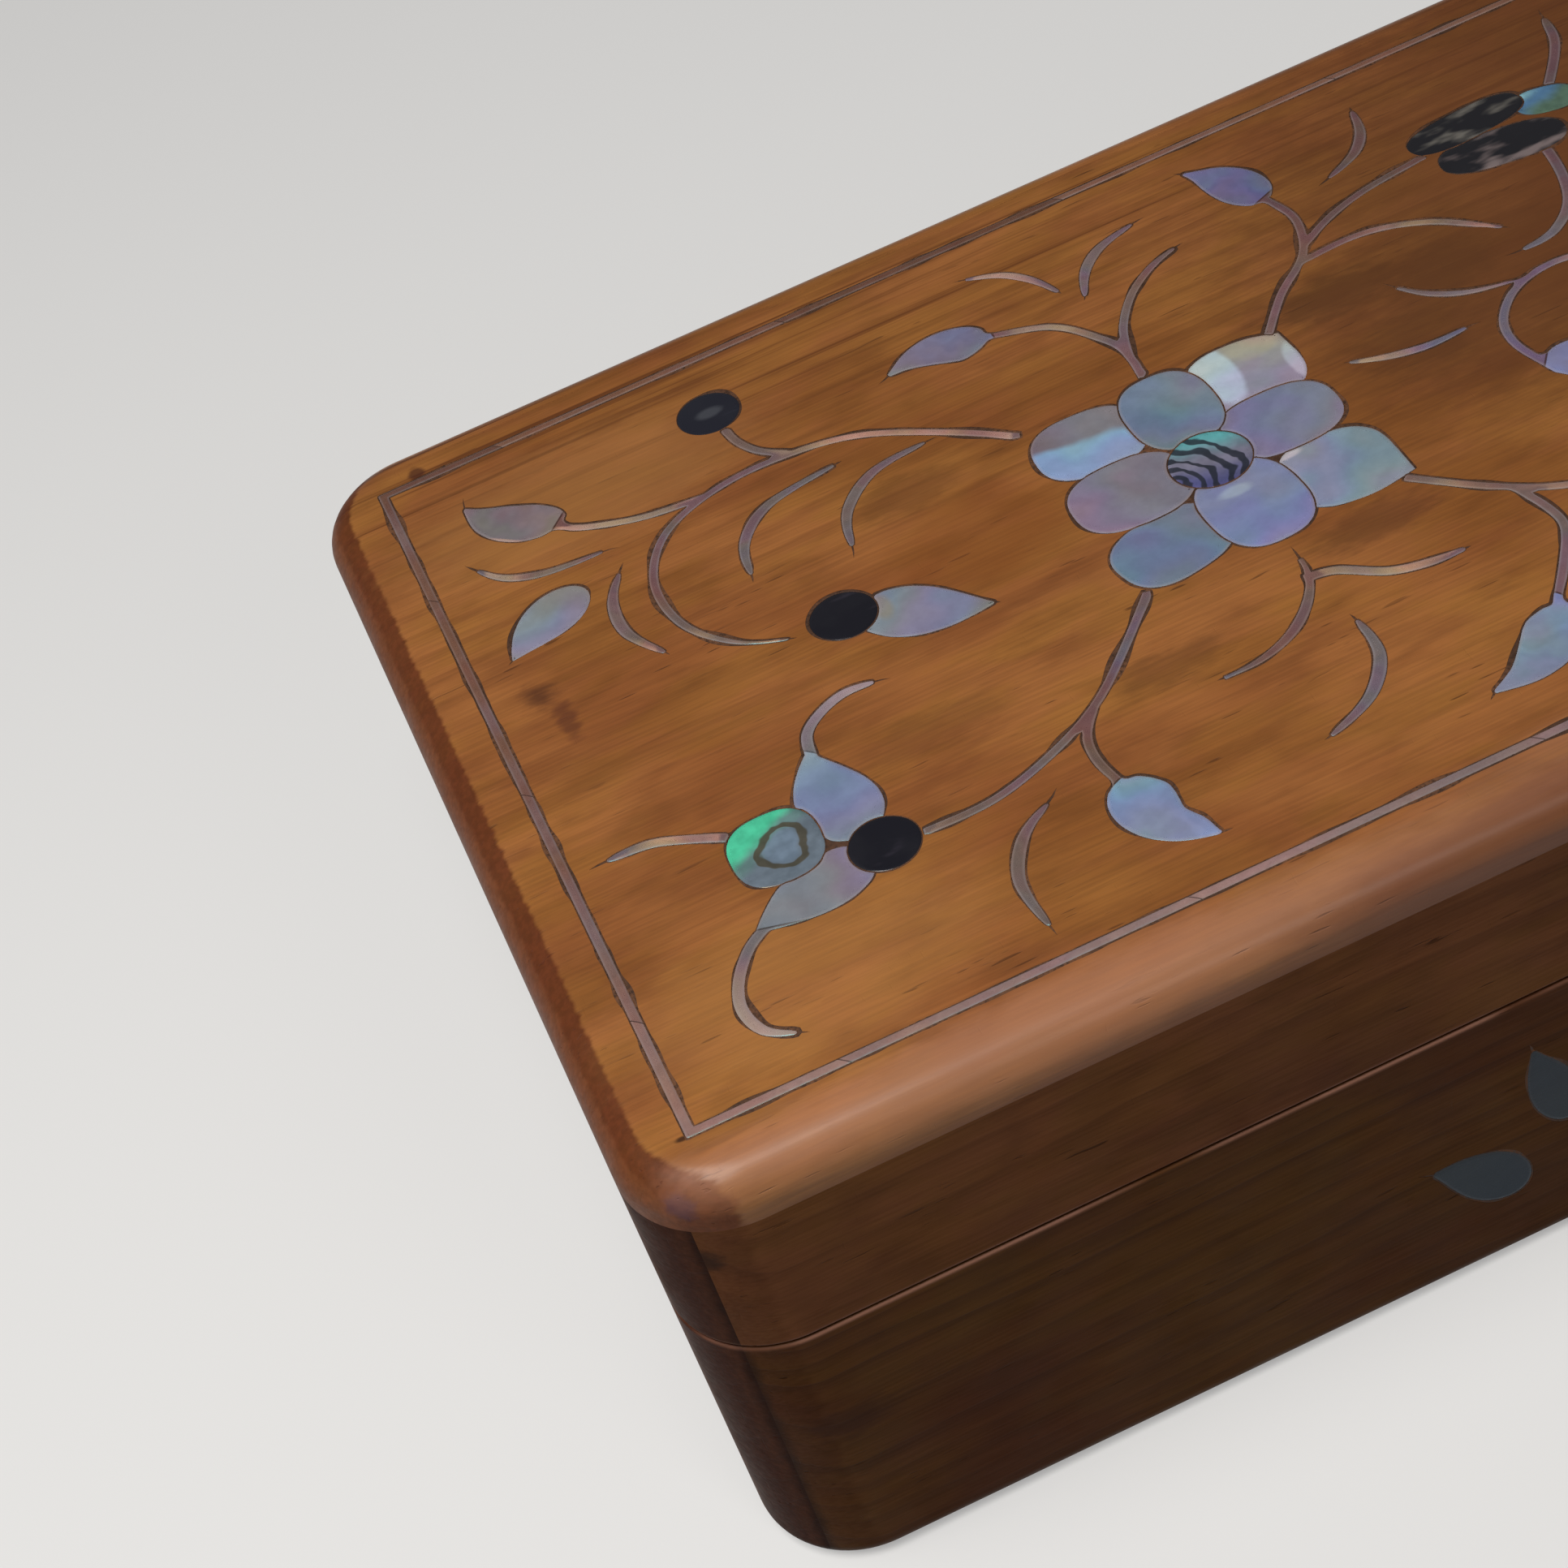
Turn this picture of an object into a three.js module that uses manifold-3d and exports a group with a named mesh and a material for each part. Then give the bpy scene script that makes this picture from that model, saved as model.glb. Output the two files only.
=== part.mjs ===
// A small wooden box with a hinged lid, inlaid with shell and dark horn.
//
// Millimetres, +Z up. +X runs along the length, the front faces -Y, and the
// origin lies in the middle of the underside. The case is made as a closed box
// of boards, rounded over outside and sawn apart at the parting line. The
// inlay is let into pockets, one pocket for each piece, flush with the wood.

import * as THREE from 'three';
import { mergeVertices } from 'three/addons/utils/BufferGeometryUtils.js';
import Module from 'manifold-3d';

const wasm = await Module();
wasm.setup();

// Case
const boxLength = 210;
const boxDepth = 150;
const boxHeight = 74;
const partingHeight = 45;
const partingGap = 0.3;
const wallThickness = 9;
const topThickness = 7;
const bottomThickness = 5;
const bottomRabbetWidth = 2;
const bottomFitGap = 0.3;
const cornerLip = 5.3;
const cornerRadius = 13.4;
const topRounding = 5;
const bottomRounding = 3;
const edgeEasing = 0.5;
const cornerSteps = 7;
const roundingSteps = 4;

// Hinges and the lid's stop
const openingDegrees = 105;
const hingeLength = 24;
const hingeEndDistance = 45;
const leafThickness = 1;
const leafWidth = 4;
const leafFitGap = 0.3;
const knuckleRadius = 1.6;
const knuckleCount = 3;
const pinRadius = 0.7;
const pinHeadRadius = 1.15;
const pinHeadLength = 0.8;
const runningGap = 0.3;
const screwHoleRadius = 0.6;
const countersinkRadius = 1.3;
const screwPlaceShares = [-0.28, 0.28];
const roundSteps = 16;

// Inlay
const shellThickness = 1.2;
const inlayGap = 0.3;
const stringingInset = 9.7;
const stringingWidth = 1.5;
const stemWidth = 1.5;
const sprigWidth = 1.7;
const crescentWidth = 1.7;
const fineCrescentWidth = 1.4;
const hornDiscDiameter = 8.7;
const flowerDiscDiameter = 10.7;
const stepsPerSpan = 3;
const discSteps = 20;
const petalSteps = 20;
const leafSteps = 8;

// One overrun serves every cut
const overrun = 1;

// Worked out from the sizes above
const halfLength = boxLength / 2;
const halfDepth = boxDepth / 2;
const bodyHeight = partingHeight - partingGap / 2;
const lidBase = partingHeight + partingGap / 2;
const lidHeight = boxHeight - lidBase;
const railHeight = lidHeight - topThickness;
const barrelRoom = knuckleRadius + runningGap;
const hingeAxisY = halfDepth - barrelRoom;
const pinReach = hingeLength / 2 + runningGap + pinHeadLength;
const hingePlaces = [hingeEndDistance - halfLength, halfLength - hingeEndDistance];

// The pattern is laid out on the field inside the stringing: a place's shares are
// of these measures, and widths that belong to neither follow the smaller one
const fieldLength = boxLength - stringingInset * 2;
const fieldDepth = boxDepth - stringingInset * 2;
const fieldLengthShare = 0.5247;
const fieldDepthShare = 0.7657;
const patternLength = fieldLength * fieldLengthShare;
const patternDepth = fieldDepth * fieldDepthShare;
const patternMeasure = Math.min(patternLength, patternDepth);

// Finishes
const wood = { color: 0xa9652f, roughness: 0.42, metalness: 0 };
const darkWood = { color: 0x8c4f26, roughness: 0.5, metalness: 0 };
const pearl = { color: 0xc9c7d6, roughness: 0.22, metalness: 0.1 };
const abalone = { color: 0x5b9c9a, roughness: 0.2, metalness: 0.2 };
const horn = { color: 0x1d1b22, roughness: 0.25, metalness: 0 };
const brass = { color: 0xb08a4a, roughness: 0.35, metalness: 0.9 };

// Solids and meshes

function solidOf(geometry) {
  geometry.deleteAttribute('normal');
  geometry.deleteAttribute('uv');
  const merged = mergeVertices(geometry);
  return new wasm.Manifold(new wasm.Mesh({
    numProp: 3,
    vertProperties: new Float32Array(merged.attributes.position.array),
    triVerts: new Uint32Array(merged.index.array),
  }));
}

function geometryOf(solid) {
  const mesh = solid.getMesh();
  const geometry = new THREE.BufferGeometry();
  geometry.setAttribute('position', new THREE.BufferAttribute(new Float32Array(mesh.vertProperties), 3));
  geometry.setIndex(new THREE.BufferAttribute(new Uint32Array(mesh.triVerts), 1));
  return geometry;
}

function addMesh(parent, name, solid, finish) {
  const material = new THREE.MeshStandardMaterial({ ...finish, flatShading: true });
  const mesh = new THREE.Mesh(geometryOf(solid), material);
  mesh.name = name;
  parent.add(mesh);
  return mesh;
}

// The mesh takes the middle of its own outline as its origin and stands there
function addCentredMesh(parent, name, solid, finish) {
  const mesh = addMesh(parent, name, solid, finish);
  mesh.geometry.computeBoundingBox();
  const middle = mesh.geometry.boundingBox.getCenter(new THREE.Vector3());
  mesh.geometry.translate(-middle.x, -middle.y, 0);
  mesh.position.set(middle.x, middle.y, 0);
  return mesh;
}

function block(minX, maxX, minY, maxY, minZ, maxZ) {
  const geometry = new THREE.BoxGeometry(maxX - minX, maxY - minY, maxZ - minZ);
  geometry.translate((minX + maxX) / 2, (minY + maxY) / 2, (minZ + maxZ) / 2);
  return solidOf(geometry);
}

function plate(outline, bottom, top) {
  const shape = new THREE.Shape(outline);
  const geometry = new THREE.ExtrudeGeometry(shape, { depth: top - bottom, bevelEnabled: false });
  geometry.translate(0, 0, bottom);
  return solidOf(geometry);
}

// What is left of a piece that its neighbours cut is its largest body
function largestBody(solid) {
  const bodies = solid.decompose();
  return bodies.reduce((best, body) => (body.volume() > best.volume() ? body : best));
}

// Convex block whose plan is a rounded rectangle, drawn in at each level by its inset
function roundedBlock(length, depth, radius, levels) {
  const corners = [[1, 1], [-1, 1], [-1, -1], [1, -1]];
  const positions = [];
  for (const level of levels) {
    corners.forEach(([sideX, sideY], corner) => {
      for (let step = 0; step <= cornerSteps; step += 1) {
        const angle = (corner + step / cornerSteps) * Math.PI / 2;
        const reach = radius - level.inset;
        const x = sideX * (length / 2 - radius) + reach * Math.cos(angle);
        const y = sideY * (depth / 2 - radius) + reach * Math.sin(angle);
        positions.push(x, y, level.z);
      }
    });
  }
  const ring = corners.length * (cornerSteps + 1);
  const last = (levels.length - 1) * ring;
  const lowMiddle = levels.length * ring;
  const highMiddle = lowMiddle + 1;
  positions.push(0, 0, levels[0].z, 0, 0, levels[levels.length - 1].z);
  const indices = [];
  for (let i = 0; i < ring; i += 1) {
    const next = (i + 1) % ring;
    indices.push(lowMiddle, next, i, highMiddle, last + i, last + next);
    for (let low = 0; low < last; low += ring) {
      indices.push(low + i, low + next, low + ring + next);
      indices.push(low + i, low + ring + next, low + ring + i);
    }
  }
  const geometry = new THREE.BufferGeometry();
  geometry.setAttribute('position', new THREE.Float32BufferAttribute(positions, 3));
  geometry.setIndex(indices);
  return solidOf(geometry);
}

// Case

function bodyLevels() {
  const levels = [];
  for (let step = 0; step <= roundingSteps; step += 1) {
    const angle = step / roundingSteps * Math.PI / 2;
    levels.push({ z: bottomRounding * (1 - Math.cos(angle)), inset: bottomRounding * (1 - Math.sin(angle)) });
  }
  levels.push({ z: bodyHeight - edgeEasing, inset: 0 });
  levels.push({ z: bodyHeight, inset: edgeEasing });
  return levels;
}

function lidLevels() {
  const levels = [{ z: 0, inset: edgeEasing }, { z: edgeEasing, inset: 0 }];
  for (let step = 0; step <= roundingSteps; step += 1) {
    const angle = step / roundingSteps * Math.PI / 2;
    const rise = topRounding * (1 - Math.sin(angle));
    levels.push({ z: lidHeight - rise, inset: topRounding * (1 - Math.cos(angle)) });
  }
  return levels;
}

// Four walls, rabbeted at the corners: the front and rear boards lie in the side boards
function splitWalls(walls, bottom, top) {
  const low = bottom - overrun;
  const high = top + overrun;
  const lipX = halfLength - cornerLip;
  const innerX = halfLength - wallThickness;
  const innerY = halfDepth - wallThickness;
  const outerX = halfLength + overrun;
  const outerY = halfDepth + overrun;
  const frontPlace = block(-lipX, lipX, -outerY, -innerY, low, high);
  const rearPlace = block(-lipX, lipX, innerY, outerY, low, high);
  const ends = walls.subtract(frontPlace).subtract(rearPlace);
  return {
    front: walls.intersect(frontPlace),
    rear: walls.intersect(rearPlace),
    left: ends.intersect(block(-outerX, -innerX + overrun, -outerY, outerY, low, high)),
    right: ends.intersect(block(innerX - overrun, outerX, -outerY, outerY, low, high)),
  };
}

function cavity(bottom, top) {
  const x = halfLength - wallThickness;
  const y = halfDepth - wallThickness;
  return block(-x, x, -y, y, bottom, top);
}

// Room for the hinge leaves in a rim, open to the rear face
function leafMortises(bottom, top) {
  const front = hingeAxisY - barrelRoom - leafWidth - leafFitGap;
  const half = hingeLength / 2 + leafFitGap;
  return hingePlaces.map((x) => block(x - half, x + half, front, halfDepth + overrun, bottom, top));
}

// Room for the barrels and the pins' heads, on the hinge axis
function barrelRooms(axisZ) {
  const length = (pinReach + leafFitGap) * 2;
  return hingePlaces.map((x) => {
    const room = new THREE.CylinderGeometry(barrelRoom, barrelRoom, length, roundSteps);
    return solidOf(alongX(room).translate(x, hingeAxisY, axisZ));
  });
}

// The rear edges of both halves slope away from the hinge axis. The slopes meet,
// and stop the lid, when it has opened as far as the groove between them is wide.
function stopGroove(axisZ) {
  const slope = openingDegrees / 2 * Math.PI / 180;
  const apexY = hingeAxisY - partingGap / 2 / Math.sin(slope);
  const mouthY = halfDepth + overrun;
  const mouthHalf = (mouthY - apexY) * Math.tan(slope);
  const profile = [[apexY, axisZ], [mouthY, axisZ - mouthHalf], [mouthY, axisZ + mouthHalf]];
  const shape = new THREE.Shape(profile.map(([y, z]) => new THREE.Vector2(y, z)));
  const length = boxLength + overrun * 2;
  const geometry = new THREE.ExtrudeGeometry(shape, { depth: length, bevelEnabled: false });
  geometry.translate(0, 0, -length / 2);
  return solidOf(geometry.rotateX(Math.PI / 2).rotateZ(Math.PI / 2));
}

function alongX(geometry) {
  return geometry.rotateZ(Math.PI / 2);
}

function cutAll(solid, cutters) {
  return cutters.reduce((rest, cutter) => rest.subtract(cutter), solid);
}

function buildBody(parent, frontPockets) {
  const whole = roundedBlock(boxLength, boxDepth, cornerRadius, bodyLevels());
  const outside = whole.subtract(stopGroove(partingHeight));
  const rabbetX = halfLength - wallThickness + bottomRabbetWidth;
  const rabbetY = halfDepth - wallThickness + bottomRabbetWidth;
  const rabbet = block(-rabbetX, rabbetX, -rabbetY, rabbetY, -overrun, bottomThickness);
  const hollow = cavity(-overrun, bodyHeight + overrun);
  const walls = splitWalls(outside.subtract(hollow).subtract(rabbet), 0, bodyHeight);
  const mortises = leafMortises(bodyHeight - leafThickness, bodyHeight + overrun);
  const hingeRooms = [...mortises, ...barrelRooms(partingHeight)];
  addMesh(parent, 'box_front_board', walls.front.subtract(frontPockets), wood);
  addMesh(parent, 'box_rear_board', cutAll(walls.rear, hingeRooms), wood);
  addMesh(parent, 'box_left_board', walls.left, wood);
  addMesh(parent, 'box_right_board', walls.right, wood);
  const bottomX = rabbetX - bottomFitGap;
  const bottomY = rabbetY - bottomFitGap;
  const bottom = block(-bottomX, bottomX, -bottomY, bottomY, 0, bottomThickness);
  addMesh(parent, 'box_bottom_board', bottom.intersect(whole), darkWood);
}

function buildLid(parent, topPockets) {
  const axisZ = -partingGap / 2;
  const whole = roundedBlock(boxLength, boxDepth, cornerRadius, lidLevels());
  const outside = whole.subtract(stopGroove(axisZ));
  const outerX = halfLength + overrun;
  const outerY = halfDepth + overrun;
  const above = block(-outerX, outerX, -outerY, outerY, railHeight, lidHeight + overrun);
  const hollow = cavity(-overrun, railHeight + overrun);
  const rails = splitWalls(outside.subtract(above).subtract(hollow), 0, railHeight);
  const hingeRooms = [...leafMortises(-overrun, leafThickness), ...barrelRooms(axisZ)];
  addMesh(parent, 'lid_front_rail', rails.front, wood);
  addMesh(parent, 'lid_rear_rail', cutAll(rails.rear, hingeRooms), wood);
  addMesh(parent, 'lid_left_rail', rails.left, wood);
  addMesh(parent, 'lid_right_rail', rails.right, wood);
  addMesh(parent, 'lid_top_board', outside.intersect(above).subtract(topPockets), wood);
}

// Hinges: each is built about its own pin, along X, with the leaves forward of it

function hingeLeaf(side, ownKnuckles) {
  const near = side * partingGap / 2;
  const far = side * (partingGap / 2 + leafThickness);
  const low = Math.min(near, far);
  const high = Math.max(near, far);
  const half = hingeLength / 2;
  const pitch = hingeLength / knuckleCount;
  let leaf = block(-half, half, -barrelRoom - leafWidth, -barrelRoom, low, high);
  for (const knuckle of ownKnuckles) {
    const middle = (knuckle + 0.5) * pitch - half;
    const knuckleHalf = (pitch - runningGap) / 2;
    const tab = block(middle - knuckleHalf, middle + knuckleHalf, -barrelRoom, 0, low, high);
    const barrel = new THREE.CylinderGeometry(knuckleRadius, knuckleRadius, knuckleHalf * 2, roundSteps);
    leaf = leaf.add(tab).add(solidOf(alongX(barrel).translate(middle, 0, 0)));
  }
  const boreRadius = pinRadius + runningGap;
  const bore = new THREE.CylinderGeometry(boreRadius, boreRadius, hingeLength + overrun, roundSteps);
  const holes = screwPlaceShares.map((share) => {
    const hole = new THREE.CylinderGeometry(screwHoleRadius, countersinkRadius, leafThickness, roundSteps);
    hole.rotateX(side * Math.PI / 2);
    hole.translate(hingeLength * share, -barrelRoom - leafWidth / 2, (low + high) / 2);
    return solidOf(hole);
  });
  return cutAll(leaf.subtract(solidOf(alongX(bore))), holes);
}

function hingePin() {
  const half = hingeLength / 2 + runningGap;
  const crown = half + pinHeadLength / 2;
  const head = [[pinRadius, half], [pinHeadRadius, half], [pinHeadRadius, crown], [pinRadius, pinReach]];
  const mirrored = head.map(([radius, along]) => [radius, -along]).reverse();
  const profile = [[0, -pinReach], ...mirrored, ...head, [0, pinReach]];
  const points = profile.map(([radius, along]) => new THREE.Vector2(radius, along));
  return solidOf(alongX(new THREE.LatheGeometry(points, roundSteps)));
}

function buildHinges(bodyParent, lidParent) {
  const ownByBody = [0, 2];
  const ownByLid = [1];
  hingePlaces.forEach((x, index) => {
    const name = ['hinge_left', 'hinge_right'][index];
    const fixed = new THREE.Group();
    fixed.position.set(x, hingeAxisY, partingHeight);
    bodyParent.add(fixed);
    addMesh(fixed, `${name}_box_leaf`, hingeLeaf(-1, ownByBody), brass);
    addMesh(fixed, `${name}_pin`, hingePin(), brass);
    const moving = new THREE.Group();
    moving.position.set(x, hingeAxisY, -partingGap / 2);
    lidParent.add(moving);
    addMesh(moving, `${name}_lid_leaf`, hingeLeaf(1, ownByLid), brass);
  });
}

// Inlay outlines. Each maker returns a function of how far the outline grows,
// so that a piece and its pocket come from the same outline. Places on the lid
// are counted from its front left corner, and places on the front from its foot.

const lidMiddleShares = [1.05, 0.75];

function onLid([shareX, shareY]) {
  const x = (shareX - lidMiddleShares[0]) * patternLength;
  const y = (shareY - lidMiddleShares[1]) * patternDepth;
  return new THREE.Vector2(x, y);
}

function onFront([shareX, shareZ]) {
  return new THREE.Vector2((shareX - lidMiddleShares[0]) * patternLength, shareZ * bodyHeight);
}

function disc({ centreShares, diameter }) {
  return (grow) => {
    const centre = onLid(centreShares);
    const points = [];
    for (let step = 0; step < discSteps; step += 1) {
      const angle = step / discSteps * Math.PI * 2;
      const arm = new THREE.Vector2(Math.cos(angle), Math.sin(angle));
      points.push(arm.multiplyScalar(diameter / 2 + grow).add(centre));
    }
    return points;
  };
}

// Rounded petal: a superellipse, turned about its centre
function petal({ centreShares, halfShares, turnDegrees }) {
  const squareness = 2.6;
  const power = (value) => Math.sign(value) * Math.abs(value) ** (2 / squareness);
  return (grow) => {
    const centre = onLid(centreShares);
    const halfX = halfShares[0] * patternLength + grow;
    const halfY = halfShares[1] * patternDepth + grow;
    const points = [];
    for (let step = 0; step < petalSteps; step += 1) {
      const angle = step / petalSteps * Math.PI * 2;
      const point = new THREE.Vector2(halfX * power(Math.cos(angle)), halfY * power(Math.sin(angle)));
      point.rotateAround(new THREE.Vector2(), turnDegrees * Math.PI / 180);
      points.push(point.add(centre));
    }
    return points;
  };
}

// Leaf: round at its base, pointed at its tip, widest at its belly, on a bowed spine
function leaf({ baseShares, tipShares, widthShare, bowShare, place = onLid }) {
  const bellyShare = 0.37;
  const fullness = (t) => {
    if (t < bellyShare) {
      return Math.sqrt(1 - ((bellyShare - t) / bellyShare) ** 2);
    }
    return Math.cos(Math.PI / 2 * (t - bellyShare) / (1 - bellyShare));
  };
  return (grow) => {
    const base = place(baseShares);
    const tip = place(tipShares);
    const along = tip.clone().sub(base).normalize();
    const across = new THREE.Vector2(-along.y, along.x);
    const control = base.clone().lerp(tip, 0.5).addScaledVector(across, 2 * bowShare * patternMeasure);
    base.addScaledVector(along, -grow);
    tip.addScaledVector(along, grow * 2);
    const spine = new THREE.QuadraticBezierCurve(base, control, tip);
    const leftSide = [];
    const rightSide = [];
    for (let step = 1; step < leafSteps; step += 1) {
      const t = (1 - Math.cos(step / leafSteps * Math.PI)) / 2;
      const half = (widthShare * patternMeasure / 2 + grow) * fullness(t);
      const tangent = spine.getTangent(t);
      const side = new THREE.Vector2(-tangent.y, tangent.x);
      leftSide.push(spine.getPoint(t).addScaledVector(side, half));
      rightSide.unshift(spine.getPoint(t).addScaledVector(side, -half));
    }
    return [base, ...rightSide.reverse(), tip, ...leftSide.reverse()];
  };
}

// Strip: a ribbon of shell along a curve, whose profile gives its width on the way
const bluntShare = 0.25;
const runOutShare = 0.3;

function evenWidth() {
  return 1;
}

function spindleWidth(t) {
  return bluntShare + (1 - bluntShare) * Math.sin(Math.PI * t);
}

function runOutWidth(t) {
  const left = Math.min(1, (1 - t) / runOutShare);
  return bluntShare + (1 - bluntShare) * Math.sin(Math.PI / 2 * left);
}

function strip({ placeShares, width, profile }) {
  return (grow) => {
    const curve = new THREE.SplineCurve(placeShares.map(onLid));
    const steps = (placeShares.length - 1) * stepsPerSpan;
    const leftSide = [];
    const rightSide = [];
    for (let step = 0; step <= steps; step += 1) {
      const t = step / steps;
      const tangent = curve.getTangent(t);
      const point = curve.getPoint(t);
      if (step === 0) {
        point.addScaledVector(tangent, -grow);
      }
      if (step === steps) {
        point.addScaledVector(tangent, grow);
      }
      const half = width / 2 * profile(t) + grow;
      const side = new THREE.Vector2(-tangent.y, tangent.x);
      leftSide.unshift(point.clone().addScaledVector(side, half));
      rightSide.push(point.clone().addScaledVector(side, -half));
    }
    return [...rightSide, ...leftSide];
  };
}

// Inlay pieces, in the order in which they are let in: where two meet, the
// later one is fitted to the earlier one.

function pearlPiece(name, ...outlines) {
  return { name, finish: pearl, outlines };
}

const flowerCentreShares = [1.057, 0.762];

const flowerPetals = [
  { place: 'rear', centreShares: [1.059, 0.882], halfShares: [0.060, 0.079], turnDegrees: 0 },
  { place: 'front', centreShares: [1.066, 0.655], halfShares: [0.064, 0.084], turnDegrees: 3 },
  { place: 'left', centreShares: [0.948, 0.767], halfShares: [0.080, 0.065], turnDegrees: 0 },
  { place: 'right', centreShares: [1.163, 0.777], halfShares: [0.080, 0.062], turnDegrees: 0 },
  { place: 'rear_left', centreShares: [0.945, 0.889], halfShares: [0.075, 0.064], turnDegrees: -3 },
  { place: 'rear_right', centreShares: [1.168, 0.884], halfShares: [0.075, 0.071], turnDegrees: -3 },
  { place: 'front_left', centreShares: [0.948, 0.645], halfShares: [0.078, 0.062], turnDegrees: 12 },
  { place: 'front_right', centreShares: [1.181, 0.650], halfShares: [0.072, 0.070], turnDegrees: -8 },
];

const flowerPieces = [
  {
    name: 'flower_disc',
    finish: abalone,
    outlines: [disc({ centreShares: flowerCentreShares, diameter: flowerDiscDiameter })],
  },
  ...flowerPetals.map(({ place, ...sizes }) => pearlPiece(`flower_petal_${place}`, petal(sizes))),
];

const discPieces = [
  { name: 'horn_disc_rear_left', centreShares: [0.544, 1.276] },
  { name: 'horn_disc_left', centreShares: [0.551, 0.778] },
  { name: 'horn_disc_front_left', centreShares: [0.447, 0.379] },
  { name: 'horn_disc_front_right', centreShares: [1.565, 0.252] },
].map(({ name, centreShares }) => ({
  name,
  finish: horn,
  outlines: [disc({ centreShares, diameter: hornDiscDiameter })],
}));

const blossomPieces = [
  {
    name: 'blossom_left_abalone_petal',
    finish: abalone,
    outlines: [petal({ centreShares: [0.333, 0.449], halfShares: [0.056, 0.060], turnDegrees: 0 })],
  },
  pearlPiece(
    'blossom_left_rear_petal',
    leaf({ baseShares: [0.443, 0.405], tipShares: [0.424, 0.580], widthShare: 0.098, bowShare: 0.012 }),
    strip({
      placeShares: [[0.424, 0.558], [0.433, 0.603], [0.460, 0.630], [0.500, 0.646], [0.545, 0.641]],
      width: stemWidth,
      profile: runOutWidth,
    }),
  ),
  pearlPiece(
    'blossom_left_front_petal',
    leaf({ baseShares: [0.432, 0.372], tipShares: [0.262, 0.332], widthShare: 0.088, bowShare: -0.006 }),
    strip({
      placeShares: [
        [0.290, 0.342], [0.252, 0.318], [0.222, 0.276], [0.210, 0.232], [0.222, 0.188], [0.258, 0.162],
      ],
      width: stemWidth,
      profile: runOutWidth,
    }),
  ),
  {
    name: 'blossom_right_rear_petal',
    finish: horn,
    outlines: [petal({ centreShares: [1.650, 1.180], halfShares: [0.088, 0.034], turnDegrees: 5 })],
  },
  {
    name: 'blossom_right_front_petal',
    finish: horn,
    outlines: [petal({ centreShares: [1.665, 1.103], halfShares: [0.088, 0.040], turnDegrees: -9 })],
  },
  {
    name: 'blossom_right_abalone_petal',
    finish: abalone,
    outlines: [petal({ centreShares: [1.762, 1.158], halfShares: [0.042, 0.030], turnDegrees: -15 })],
  },
];

const loosePieces = [
  pearlPiece(
    'leaf_left',
    leaf({ baseShares: [0.282, 1.038], tipShares: [0.155, 0.963], widthShare: 0.080, bowShare: -0.009 }),
  ),
  pearlPiece(
    'bud_left',
    leaf({ baseShares: [0.570, 0.778], tipShares: [0.722, 0.683], widthShare: 0.092, bowShare: -0.008 }),
  ),
];

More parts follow.
